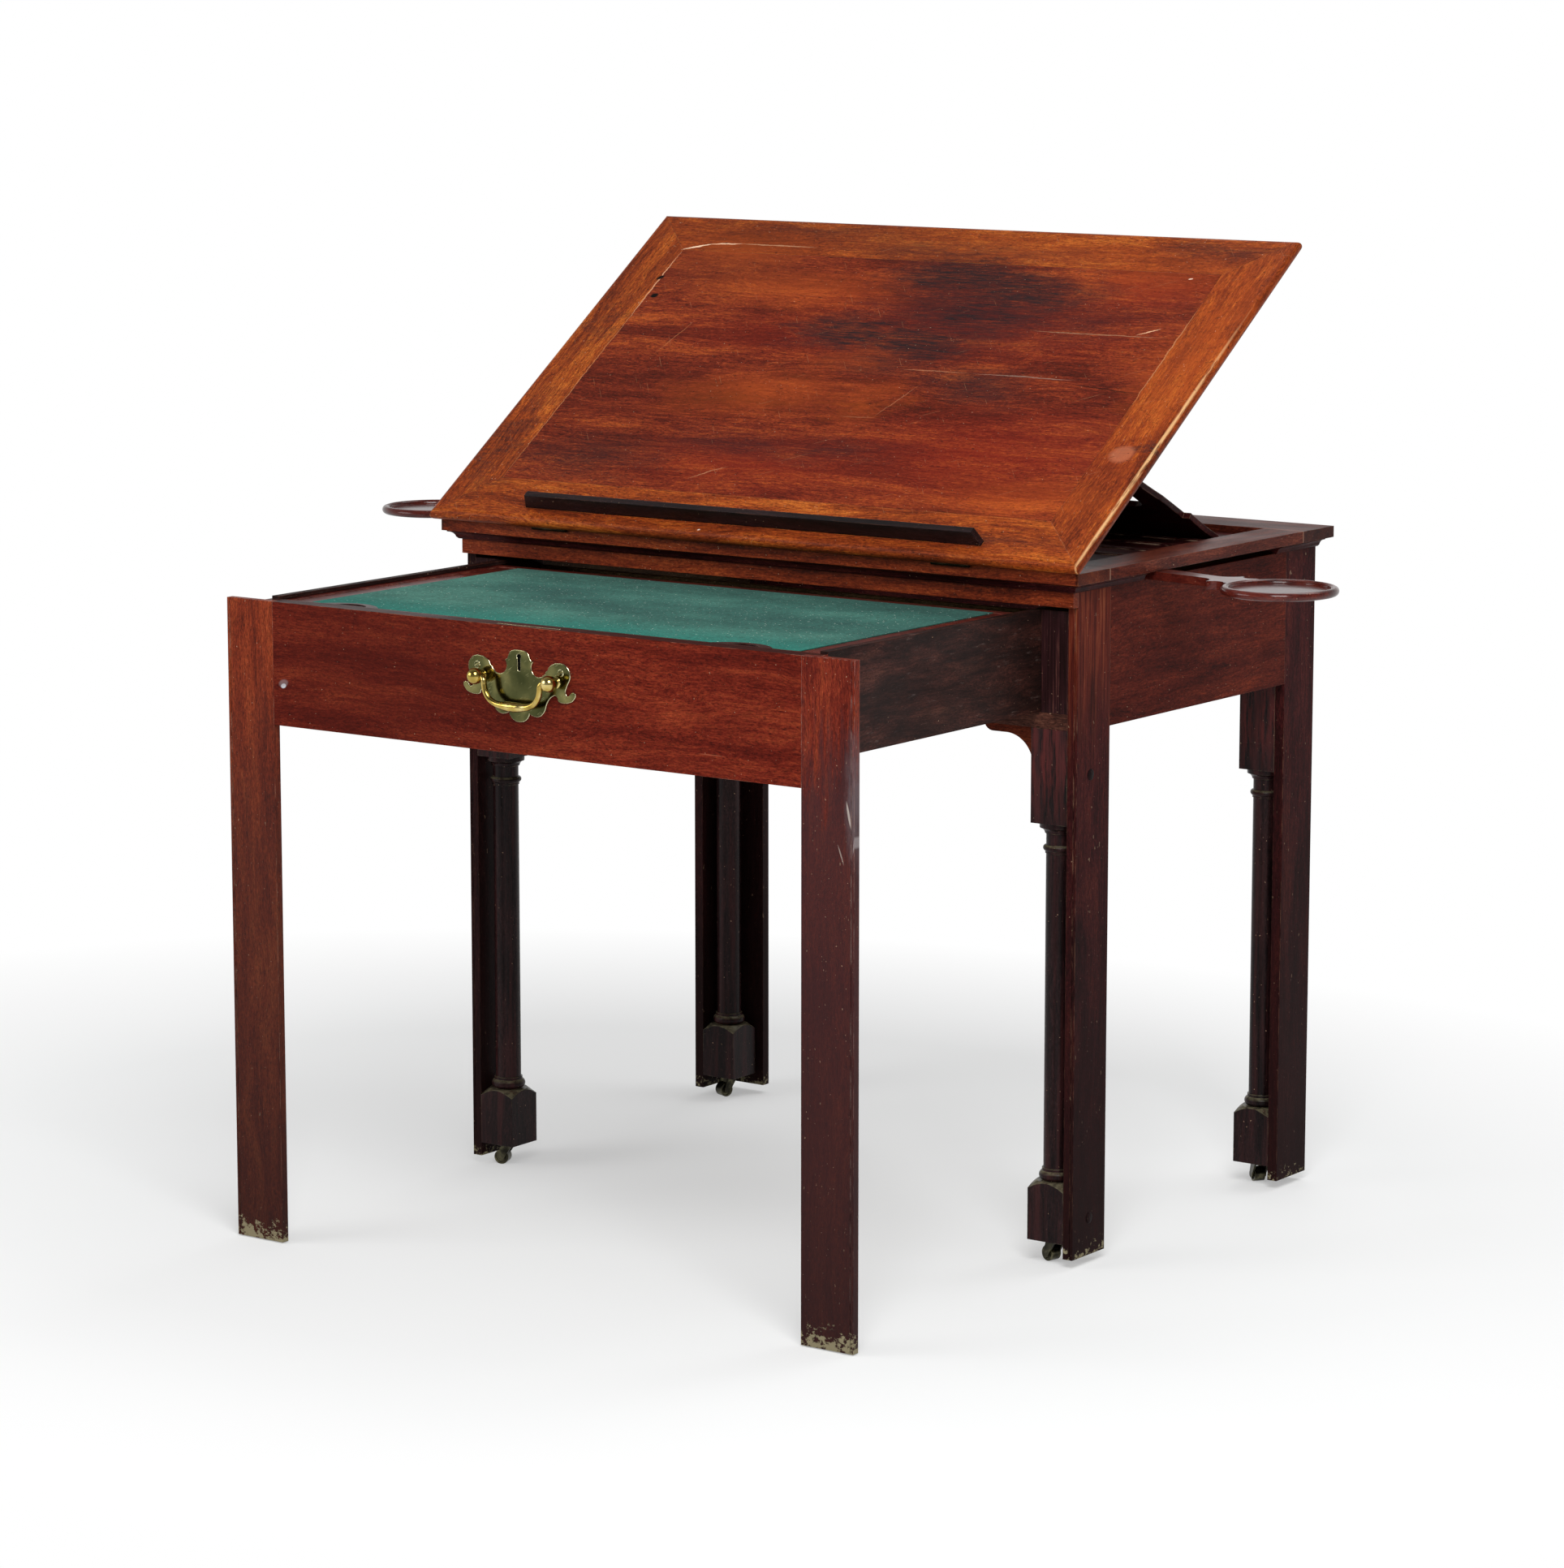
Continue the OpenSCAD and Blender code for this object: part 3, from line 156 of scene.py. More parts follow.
def wood(name, tones, grain=ALONG_X, figure=0.22, across=0.03, seed=0.0, rough=0.34, shine=0.06, gloss=0.0,
         worn="#8a4c28", wear=0.45, feet=False, marks=None, soil=0.18, pores=0.6, pore="#1b0a07", grit=0.55,
         relief=0.12, arris=0.0016):
    """Wood, polished or planed: soft figure, silky streaks, dark pores, pale flecks and worn arrises."""
    mat, tree, place = start(name)
    laid = add(tree, "Mapping",
               {"Vector": place, "Location": (seed, seed * 0.7, seed * 1.3), "Rotation": grain})
    # Figure: bands a few centimetres wide that wander to each side along the board.
    bend = cloud(tree, laid, (0.26, 0.09, 0.09), 2)
    aside = add(tree, "CombineXYZ", {"Y": bend, "Z": bend})
    swing = add(tree, "VectorMath", {0: aside, "Scale": 0.06}, operation="SCALE")
    flow = add(tree, "VectorMath", {0: laid, 1: swing}, operation="ADD")
    bands = cloud(tree, flow, (figure, across, across), 4, 0.55, 0.5)
    # Streaks: silky, 90 mm long and 4 mm wide.
    streaks = cloud(tree, flow, (0.09, 0.004, 0.004), 4, 0.7)
    # Fibres: 12 mm long, drawn 1.5 mm wide so that they show.
    fibres = cloud(tree, flow, (0.012, 0.0015, 0.0015), 3, 0.7)
    shade = add(tree, "Math", {0: fibres, 1: 0.3}, operation="MULTIPLY")
    shade = add(tree, "Math", {0: streaks, 1: 0.3, 2: shade}, operation="MULTIPLY_ADD")
    shade = add(tree, "Math", {0: bands, 1: 0.4, 2: shade}, operation="MULTIPLY_ADD")
    colour = add(tree, "ValToRGB", {0: shade}, list(zip((0.38, 0.465, 0.53, 0.62), tones)))
    # Grit: open pores and the dust in them give old polish a fine grain, drawn 2 mm across so that it shows.
    grains = cloud(tree, laid, (0.0045, 0.002, 0.002), 3, 0.8)
    grey = add(tree, "ValToRGB", {0: grains}, [(0.36, 0.2), (0.64, 0.8)])
    colour = add(tree, "Mix", {0: grit, 6: colour, 7: grey}, **MIXED, blend_type="OVERLAY")
    # Pores: dark dashes 6 mm long, drawn coarser than the real 0.2 mm.
    dashes = mottled(tree, flow, (0.006, 0.001, 0.001), [(0.56, 0.0), (0.66, 1.0)], 2, 0.6)
    colour = laid_over(tree, colour, pore, dashes, pores)
    # Soiling: a broad uneven darkening of old polish.
    dull = cloud(tree, laid, (0.2, 0.1, 0.1), 4, 0.6)
    share = add(tree, "ValToRGB", {0: dull}, [(0.44, 0.0), (0.7, soil)])
    colour = add(tree, "Mix", {0: share, 6: colour, 7: tones[0]}, **MIXED)
    if marks:
        colour = marks(tree, place, colour)
    # Flecks: chipped polish and dust, pale points about a millimetre across.
    flecks = mottled(tree, laid, (0.003, 0.0022, 0.0022), [(0.755, 0.0), (0.8, 0.7)], 1)
    colour = add(tree, "Mix", {0: flecks, 6: colour, 7: "#c09c80"}, **MIXED)
    # Wear: polish rubbed off the arrises in patches.
    edge, rounded = edge_share(tree, arris)
    rubbed = mottled(tree, laid, (0.03, 0.008, 0.008), [(0.46, 0.0), (0.6, wear)], 4, 0.65)
    arrises = add(tree, "ValToRGB", {0: edge}, [(0.03, 0.0), (0.14, 1.0)])
    colour = laid_over(tree, colour, worn, arrises, rubbed)
    if feet:
        # Dents: bare spots some 8 mm long where the polish has been knocked off.
        dents = mottled(tree, laid, (0.013, 0.006, 0.006), [(0.72, 0.0), (0.75, 0.7)], 2, 0.6)
        colour = add(tree, "Mix", {0: dents, 6: colour, 7: "#8f7660"}, **MIXED)
        # Feet: darker towards the floor, with pale chips on their lowest few centimetres.
        height = add(tree, "SeparateXYZ", {0: place}, out="Z")
        low = add(tree, "MapRange", {0: height, 1: 0.0, 2: 0.72, 3: 0.72, 4: 0.0})
        colour = add(tree, "Mix", {0: low, 6: colour, 7: "#1f1211"}, **MIXED)
        near = add(tree, "MapRange", {0: height, 1: 0.0, 2: 0.05, 3: 1.12, 4: 0.5})
        broken = cloud(tree, place, (0.009, 0.009, 0.007), 5, 0.75)
        chips = add(tree, "Math", {0: near, 1: broken}, operation="MULTIPLY")
        chipped = add(tree, "ValToRGB", {0: chips}, [(0.48, 0.0), (0.52, 0.85)])
        colour = add(tree, "Mix", {0: chipped, 6: colour, 7: "#8d8468"}, **MIXED)
    matt = add(tree, "MapRange", {0: dull, 1: 0.3, 2: 0.7, 3: rough - 0.08, 4: rough + 0.1})
    ridge = add(tree, "Math", {0: fibres, 1: dashes}, operation="SUBTRACT")
    bump = add(tree, "Bump", {"Height": ridge, "Normal": rounded, "Strength": relief, "Distance": 0.0004})
    return closed(mat, {"Base Color": colour, "Roughness": matt, "Specular IOR Level": shine,
                        "Coat Weight": gloss, "Coat Roughness": 0.12, "Normal": bump})


def metal(name, tones, rough, metallic=1.0, grit=0.01, soil="#2a2212", dirt=0.4, scratched=0.08, bright=None,
          arris=0.0006, marks=None):
    """Cast and filed metal, dulled unevenly, with dirt left in the hollows and bright worn edges; a bright
    colour, where given, makes the edges a painted highlight.
    """
    mat, tree, place = start(name)
    patch = cloud(tree, place, (grit * 2, grit * 2, grit * 2), 2, 0.5)
    fine = cloud(tree, place, (0.0012, 0.0012, 0.0012), 3, 0.6)
    colour = add(tree, "ValToRGB", {0: patch}, list(zip((0.32, 0.5, 0.7), tones)))
    hollow = mottled(tree, place, (grit, grit, grit), [(0.54, 0.0), (0.72, 1.0)], 4, 0.65)
    share = add(tree, "Math", {0: hollow, 1: dirt}, operation="MULTIPLY")
    colour = add(tree, "Mix", {0: share, 6: colour, 7: soil}, **MIXED)
    # Edges: lighter by wear, and near white as a painted highlight where a bright colour is given.
    edge, rounded = edge_share(tree, arris)
    rubbed = add(tree, "ValToRGB", {0: edge}, [(0.04, 0.0), (0.2, 0.7)])
    colour = add(tree, "Mix", {0: rubbed, 6: colour, 7: bright or tones[2]}, **MIXED)
    if marks:
        colour = marks(tree, place, colour)
    dulled = add(tree, "MapRange", {0: share, 1: 0.0, 2: 0.6, 3: rough, 4: rough + 0.2})
    bump = add(tree, "Bump", {"Height": fine, "Normal": rounded, "Strength": scratched, "Distance": 0.0002})
    return closed(mat, {"Base Color": colour, "Roughness": dulled, "Metallic": metallic, "Normal": bump})


def plate_highlight_and_scratches(tree, place, colour):
    """The plate's chamfer, painted near white as a highlight, and a few scratches across its olive face."""
    # Painted highlight: the chamfer's faces, turned away from the front, are coloured near white.
    rim = face_share(tree, "Y", -0.96, -0.75, 0.85)
    colour = add(tree, "Mix", {0: rim, 6: colour, 7: "#fbf3c6"}, **MIXED)
    turned_round = add(tree, "Mapping", {"Vector": place, "Rotation": (0, 0.6, 0)})
    scratch = mottled(tree, turned_round, (0.012, 0.01, 0.0006), [(0.72, 0.0), (0.76, 0.5)], 1)
    return add(tree, "Mix", {0: scratch, 6: colour, 7: "#d8cf9c"}, **MIXED)


def patches(tree, where, places):
    """The union of several soft ovals, each with its own strength."""
    total = 0.0
    for centre, reach, turn, strength in places:
        part = add(tree, "Math", {0: spot(tree, where, centre, reach, turn), 1: strength},
                   operation="MULTIPLY")
        total = add(tree, "Math", {0: total, 1: part}, operation="MAXIMUM")
    return total


def strokes(tree, where, colour, lines):
    """Thin crisp marks: each a long oval a millimetre or two across."""
    for centre, reach, turn, tint, strength in lines:
        part = add(tree, "ValToRGB", {0: spot(tree, where, centre, reach, turn)},
                   [(0.0, 0.0), (0.35, strength)])
        colour = add(tree, "Mix", {0: part, 6: colour, 7: tint}, **MIXED)
    return colour


def top_marks(tree, place, colour):
    """Ink stains, cracks, scratches and the pale spots that the old top carries."""
    up = add(tree, "Mapping", {"Vector": place, "Location": (0, -TOP_EDGE, 0), "Rotation": (-TILT, 0, 0)})
    bare = add(tree, "Mix", {0: 0.35, 6: colour, 7: "#3a2013"}, **MIXED)
    # The stains' edges are torn: noise moves each point up to 130 mm along the grain and 40 mm across it.
    drawn_out = add(tree, "VectorMath", {0: up, 1: (14.0, 46.0, 20.0)}, operation="MULTIPLY")
    ragged = add(tree, "TexNoise", {"Vector": drawn_out, "Scale": 1.0, "Detail": 7.0, "Roughness": 0.75},
                 out="Color")
    away = add(tree, "VectorMath", {0: ragged, 1: (0.5, 0.5, 0.5)}, operation="SUBTRACT")
    drift = add(tree, "VectorMath", {0: away, 1: (0.26, 0.08, 0.0)}, operation="MULTIPLY")
    torn = add(tree, "VectorMath", {0: up, 1: drift}, operation="ADD")
    # Faded, bright and ruddy patches of tone; the bright ones are partly painted highlight.
    for places, tint, strength in ((FADED, "#6a3016", 0.5), (BRIGHT_PATCHES_AND_HIGHLIGHTS, "#ad4c1a", 0.5), (RUDDY, "#78190f", 0.5)):
        colour = laid_over(tree, colour, tint, patches(tree, torn, places), strength)
    # Spilt ink: black where it lay, and thin between the ridges of the grain, where red wood shows through.
    stain = add(tree, "ValToRGB", {0: patches(tree, torn, STAINS)}, [(0.02, 0.0), (0.62, 1.0)])
    thin = mottled(tree, up, (0.03, 0.0022, 1.0), [(0.33, 0.35), (0.6, 1.0)], 4, 0.75)
    colour = laid_over(tree, colour, "#241b1d", stain, thin)
    wobble = add(tree, "VectorMath", {0: away, "Scale": 0.008}, operation="SCALE")
    line = add(tree, "VectorMath", {0: up, 1: wobble}, operation="ADD")
    colour = strokes(tree, line, colour, CRACKS)
    # Painted highlight: a pale line along the right border's outer arris, broken into patches.
    rim = add(tree, "ValToRGB", {0: spot(tree, up, (0.457, 0.17), (0.0021, 0.3))}, [(0.0, 0.0), (0.6, 0.9)])
    broken = mottled(tree, up, (0.003, 0.05, 1.0), [(0.38, 0.0), (0.52, 0.9)], 3, 0.7)
    colour = laid_over(tree, colour, "#e9b880", rim, broken)
    # Fine scratches: thin pale hairs in two directions.
    for turn, seed in ((0.9, 3.0), (-0.5, 9.0)):
        hair = add(tree, "Mapping", {"Vector": up, "Rotation": (0, 0, turn), "Location": (seed, 0, 0)})
        scratch = mottled(tree, hair, (0.05, 0.0012, 1.0), [(0.765, 0.0), (0.8, 0.35)], 1)
        colour = add(tree, "Mix", {0: scratch, 6: colour, 7: "#b98560"}, **MIXED)
    specks = mottled(tree, up, (0.007, 0.0028, 0.004), [(0.66, 0.0), (0.72, 0.6)], 2)
    colour = add(tree, "Mix", {0: specks, 6: colour, 7: "#1f0d0a"}, **MIXED)
    # The underside is bare brown wood, without the marks.
    normal = add(tree, "TexCoord", out="Normal")
    upward = (0, -math.sin(TILT), math.cos(TILT))
    faced = add(tree, "VectorMath", {0: normal, 1: upward}, operation="DOT_PRODUCT", out="Value")
    outer = add(tree, "MapRange", {0: faced, 1: -0.6, 2: -0.3, 3: 0.0, 4: 1.0})
    return add(tree, "Mix", {0: outer, 6: bare, 7: colour}, **MIXED)


def front_marks(tree, place, colour):
    """The drawer front: deeper to the left, with a bloomed spot, a few scratches and its keyhole painted
    black as shade.
    """
    page = add(tree, "Mapping", {"Vector": place, "Rotation": FACING})
    deep = add(tree, "ValToRGB", {0: spot(tree, page, (-0.22, 0.66), (0.36, 0.3))}, [(0.0, 0.0), (0.8, 0.45)])
    colour = add(tree, "Mix", {0: deep, 6: colour, 7: "#3f130e"}, **MIXED)
    # Painted shade: the upward faces along the top edge are darkened.
    dark = face_share(tree, "Z", 0.75, 0.97, 0.8)
    colour = add(tree, "Mix", {0: dark, 6: colour, 7: "#1f0e0c"}, **MIXED)
    return strokes(tree, page, colour, FRONT_SCRATCHES_AND_KEYHOLE_SHADE)


def leg_smudge(tree, place, colour):
    """The right drawer leg: red at its head, then greyed by hands and damp, with pale scuffs."""
    page = add(tree, "Mapping", {"Vector": place, "Rotation": FACING})
    grey = add(tree, "MapRange", {0: ragged_height(tree, place, 0.36), 1: 0.79, 2: 0.88, 3: 0.72, 4: 0.0})
    colour = add(tree, "Mix", {0: grey, 6: colour, 7: "#3a2527"}, **MIXED)
    smear = spot(tree, page, (0.436, 0.6), (0.02, 0.11))
    rough = cloud(tree, place, (0.004, 0.01, 0.02), 5, 0.8)
    fuzz = add(tree, "Math", {0: smear, 1: rough}, operation="MULTIPLY")
    share = add(tree, "ValToRGB", {0: fuzz}, [(0.12, 0.0), (0.42, 0.6)])
    colour = add(tree, "Mix", {0: share, 6: colour, 7: "#6b6266"}, **MIXED)
    return strokes(tree, page, colour, LEG_SCRATCHES)


def leg_browned(tree, place, colour):
    """The left drawer leg: red at its head and darker below."""
    brown = add(tree, "MapRange", {0: ragged_height(tree, place, 0.2), 1: 0.56, 2: 0.78, 3: 0.5, 4: 0.0})
    return add(tree, "Mix", {0: brown, 6: colour, 7: "#30201f"}, **MIXED)


def leg_darkened(tree, place, colour):
    """The frame's right legs: deeper towards the feet."""
    height = add(tree, "SeparateXYZ", {0: place}, out="Z")
    low = add(tree, "MapRange", {0: height, 1: 0.06, 2: 0.5, 3: 0.5, 4: 0.0})
    return add(tree, "Mix", {0: low, 6: colour, 7: "#12050a"}, **MIXED)


def leg_reddened(tree, place, colour):
    """The front right leg: as red as the side panel at its head, and deeper towards the foot."""
    colour = leg_darkened(tree, place, colour)
    high = add(tree, "MapRange", {0: ragged_height(tree, place, 0.2), 1: 0.66, 2: 0.88, 3: 0.0, 4: 0.9})
    red = mottled(tree, place, (0.0035, 0.0035, 0.1),
                  [(0.38, "#3d1712"), (0.52, "#6a2a1c"), (0.66, "#8c4a30")], 5, 0.7)
    return add(tree, "Mix", {0: high, 6: colour, 7: red}, **MIXED)


def block_streaks(tree, place, colour):
    """The columns: red wood in streaks through the black on the square blocks, and dust on the rings."""
    height = add(tree, "SeparateXYZ", {0: place}, out="Z")
    high = add(tree, "MapRange", {0: height, 1: 0.5, 2: 0.56, 3: 0.0, 4: 0.8})
    red = mottled(tree, place, (0.006, 0.006, 0.07), [(0.42, 0.0), (0.6, 1.0)], 4, 0.7)
    colour = laid_over(tree, colour, "#5a2422", high, red)
    # Painted sheen, partly real red wood where the black has worn thin: faint red streaks run down the shaft.
    thin = mottled(tree, place, (0.01, 0.01, 0.3), [(0.48, 0.0), (0.62, 0.5)], 4, 0.6)
    colour = add(tree, "Mix", {0: thin, 6: colour, 7: "#3f1f1f"}, **MIXED)
    # Dust lies on the upper sides of the rings and blocks.
    lying = face_share(tree, "Z", 0.25, 0.85, 1.0)
    lumps = mottled(tree, place, (0.006, 0.006, 0.006), [(0.36, 0.15), (0.6, 0.75)], 4, 0.7)
    return laid_over(tree, colour, "#716b54", lying, lumps)


def guide_front(tree, place, colour):
    """The mahogany facing glued on the guides' front ends, with its upright grain."""
    face = add(tree, "ValToRGB", {0: spot(tree, place, at(0, 20, 0), (10, 0.012, 10))},
               [(0.0, 0.0), (0.06, 1.0)])
    upright = mottled(tree, place, (0.0022, 0.03, 0.12),
                      [(0.4, "#1a0d0c"), (0.6, "#31181a"), (0.72, "#6a4238")], 4, 0.7)
    return add(tree, "Mix", {0: face, 6: colour, 7: upright}, **MIXED)


def rail_ends(tree, place, colour):
    """Darker end grain where the long rails of the frame show their ends."""
    inner = add(tree, "ValToRGB", {0: spot(tree, place, (0, 0, 0), (0.4513, 10, 10))},
                [(0.0, 0.6), (0.0015, 0.0)])
    return add(tree, "Mix", {0: inner, 6: colour, 7: "#190c0a"}, **MIXED)


def rail_joints(tree, place, colour):
    """The pale glue line where each short rail of the frame meets a long one."""
    for y in RAIL_JOINTS:
        line = add(tree, "ValToRGB", {0: spot(tree, place, at(0, y, 0), (10, 0.0016, 10))},
                   [(0.0, 0.0), (0.4, 0.5)])
        colour = add(tree, "Mix", {0: line, 6: colour, 7: "#a5806a"}, **MIXED)
    return colour


def drawer_dirt(tree, place, colour):
    """The drawer's side: blackened by hands, with a rubbed grey band and scratches."""
    black = mottled(tree, place, (0.2, 0.1, 0.035), [(0.4, 0.0), (0.6, 0.75)], 5, 0.65)
    colour = add(tree, "Mix", {0: black, 6: colour, 7: "#17100f"}, **MIXED)
    grey = mottled(tree, place, (0.2, 0.035, 0.006), [(0.6, 0.0), (0.74, 0.45)], 5, 0.8)
    return add(tree, "Mix", {0: grey, 6: colour, 7: "#7a6a64"}, **MIXED)


# Where the frame's short rails meet its long ones, in mm back from the frieze's front.
RAIL_JOINTS = (48.6, 475.4)
# Marks on the top in metres: X and distance up from the front edge; half sizes; turn; tint if any; strength.
STAINS = [((0.05, 0.485), (0.15, 0.05), 0.0, 1.0), ((0.14, 0.462), (0.16, 0.055), -0.05, 0.9),
          ((-0.055, 0.372), (0.11, 0.045), 0.05, 1.0), ((0.06, 0.362), (0.12, 0.055), 0.0, 0.95),
          ((0.1, 0.42), (0.2, 0.1), 0.0, 0.75), ((0.24, 0.41), (0.12, 0.05), 0.0, 0.36),
          ((0.16, 0.29), (0.13, 0.045), -0.15, 0.55), ((0.04, 0.156), (0.14, 0.03), 0.1, 0.42),
          ((-0.29, 0.12), (0.16, 0.06), 0.1, 0.46), ((0.02, 0.32), (0.1, 0.03), 0.0, 0.5),
          ((0.436, 0.2), (0.022, 0.018), 0.2, 0.7), ((-0.425, 0.13), (0.03, 0.16), 0.0, 0.42),
          ((0.02, 0.53), (0.26, 0.03), 0.0, 0.5), ((-0.1, 0.16), (0.14, 0.04), 0.0, 0.38),
          ((-0.425, 0.36), (0.03, 0.1), 0.0, 0.3), ((0.36, 0.555), (0.1, 0.02), 0.0, 0.45),
          ((-0.2, 0.56), (0.2, 0.02), 0.0, 0.35), ((0.3, 0.03), (0.16, 0.012), 0.0, 0.4)]
FADED = [((-0.05, 0.56), (0.6, 0.06), 0.0, 0.8), ((-0.3, 0.5), (0.16, 0.1), 0.0, 0.8)]
# Brighter orange patches, partly the wood's own tone and partly painted highlight, strongest along the right
# border.
BRIGHT_PATCHES_AND_HIGHLIGHTS = [
    ((0.44, 0.36), (0.05, 0.24), 0.0, 1.0), ((-0.12, 0.25), (0.17, 0.055), 0.1, 0.9),
    ((0.03, 0.245), (0.07, 0.05), 0.3, 0.9), ((-0.15, 0.45), (0.2, 0.05), 0.0, 0.8),
    ((0.12, 0.535), (0.26, 0.03), 0.0, 0.7), ((0.32, 0.1), (0.16, 0.04), 0.1, 0.9),
    ((0.4, 0.33), (0.05, 0.16), 0.0, 0.5), ((-0.02, 0.325), (0.09, 0.03), 0.2, 0.6),
    ((0.3, 0.5), (0.14, 0.05), 0.0, 0.8), ((-0.3, 0.52), (0.14, 0.04), 0.0, 0.8),
]
RUDDY = [
    ((0.1, 0.4), (0.28, 0.09), 0.0, 1.0), ((0.24, 0.17), (0.26, 0.1), 0.1, 1.0),
    ((-0.05, 0.13), (0.24, 0.07), 0.0, 0.9), ((0.3, 0.47), (0.12, 0.05), 0.0, 0.8),
    ((-0.12, 0.36), (0.22, 0.05), 0.0, 0.7),
]
CRACKS = [
    ((0.1, 0.3105), (0.05, 0.001), 0.0, "#a86c4c", 0.7), ((0.225, 0.31), (0.075, 0.001), 0.0, "#8d7365", 0.7),
    ((0.34, 0.298), (0.05, 0.001), -0.1, "#2a100b", 0.9), ((0.28, 0.3925), (0.1, 0.001), 0.0, "#a57a5c", 0.6),
    ((0.347, 0.402), (0.016, 0.001), 0.45, "#e3b48e", 0.8),
    ((-0.3715, 0.5185), (0.024, 0.0016), 0.3, "#e9c6a6", 0.95),
    ((-0.333, 0.5262), (0.026, 0.0015), 0.08, "#e2b795", 0.9),
    ((-0.255, 0.5275), (0.065, 0.0011), 0.0, "#b98a68", 0.7),
    ((-0.3902, 0.44), (0.0011, 0.078), 0.0, "#d9a07a", 0.9),
    ((-0.3902, 0.25), (0.0009, 0.2), 0.0, "#b8744a", 0.7),
    ((0.3902, 0.36), (0.001, 0.1), 0.0, "#c98a5c", 0.6),
    ((0.078, 0.254), (0.036, 0.0009), 1.1, "#a9694a", 0.55),
    ((0.04, 0.2215), (0.028, 0.0009), 0.05, "#a96f50", 0.3),
    ((-0.1065, 0.107), (0.028, 0.0009), 0.53, "#b57f5c", 0.6),
    ((-0.3, 0.345), (0.04, 0.0008), 1.25, "#b57048", 0.5),
    ((-0.391, 0.455), (0.0065, 0.0035), 0.6, "#0c0706", 1.0),
    ((-0.378, 0.42), (0.006, 0.0045), 0.2, "#0c0706", 1.0),
    ((0.421, 0.189), (0.018, 0.017), 0.0, "#b5694a", 0.6),
    ((0.205, 0.033), (0.02, 0.0035), 0.1, "#c8a04c", 0.25),
    ((0.353, 0.5), (0.003, 0.0015), 0.3, "#e8d3bd", 0.9),
    ((-0.06, 0.008), (0.0022, 0.0015), 0.3, "#e6d5c4", 0.8),
]
# The same on the drawer front and its right leg: X and height.
FRONT_SCRATCHES_AND_KEYHOLE_SHADE = [
    # The first two paint the keyhole's dark inside as shade on the wood behind the plate.
    ((-0.01, 0.7143), (0.0052, 0.0052), 0.0, "#060505", 1.0),
    ((-0.01, 0.7062), (0.0038, 0.0135), 0.0, "#060505", 1.0),
    ((-0.352, 0.652), (0.0045, 0.003), 0.3, "#c9cbd0", 0.9),
    ((-0.352, 0.655), (0.008, 0.005), 0.3, "#8a7f80", 0.4),
    ((0.318, 0.545), (0.012, 0.0008), 0.9, "#b9897a", 0.7),
    ((0.345, 0.552), (0.009, 0.0008), -0.7, "#b9897a", 0.6),
    ((0.1, 0.6), (0.018, 0.0007), 0.1, "#3a120d", 0.8), ((0.25, 0.63), (0.02, 0.0007), 0.0, "#a05a40", 0.5),
]
LEG_SCRATCHES = [
    ((0.428, 0.583), (0.0016, 0.016), 0.2, "#b8aca4", 0.8),
    ((0.436, 0.56), (0.0012, 0.02), -0.15, "#9d9292", 0.7),
    ((0.418, 0.54), (0.001, 0.012), 0.35, "#a89a90", 0.6),
]

# Polished mahogany of the reading top, orange where the sun has bleached it.
TOP_TONES = ("#40150c", "#632113", "#803219", "#a84f20")
EDGE_TONES = ("#4a1d0e", "#773015", "#944218", "#bd6626")
# Red-brown mahogany of the drawer front, frieze and drawer legs, less bleached.
FRONT_TONES = ("#43110b", "#5c1b11", "#6e2617", "#87381f")
FRIEZE_TONES = ("#3a150d", "#642512", "#7c3218", "#9a4822")
LEG_TONES = ("#4f1c10", "#722a16", "#85371c", "#9b4b28")
# Mahogany shaded by the top, deep and cool.
SHADE_TONES = ("#170808", "#2e1112", "#3d1617", "#54241e")
FRAME_TONES = ("#240d0a", "#461b13", "#5a261a", "#763a28")
# Mahogany blackened by old wax, nearly without figure; the second set is the left legs' mahogany, painted
# near black as shade.
BLACK_TONES = ("#090606", "#170e0f", "#221415", "#321d1d")
LEFT_LEG_SHADE_TONES = ("#100809", "#1d0e0f", "#281213", "#3a1b1a")
# Oiled, polished and waxed mahogany, darkened by hands.
DRAWER_TONES = ("#1c0f0d", "#301b17", "#40231e", "#57342a")
SLIDE_TONES = ("#2c0e0b", "#4a1612", "#5a1f17", "#752d1f")
STAND_TONES = ("#220b09", "#431611", "#551d16", "#6a2c20")
# Deal, planed and never polished: pale brown and matt.
DEAL_TONES = ("#3a2718", "#55402a", "#665033", "#7b6242")

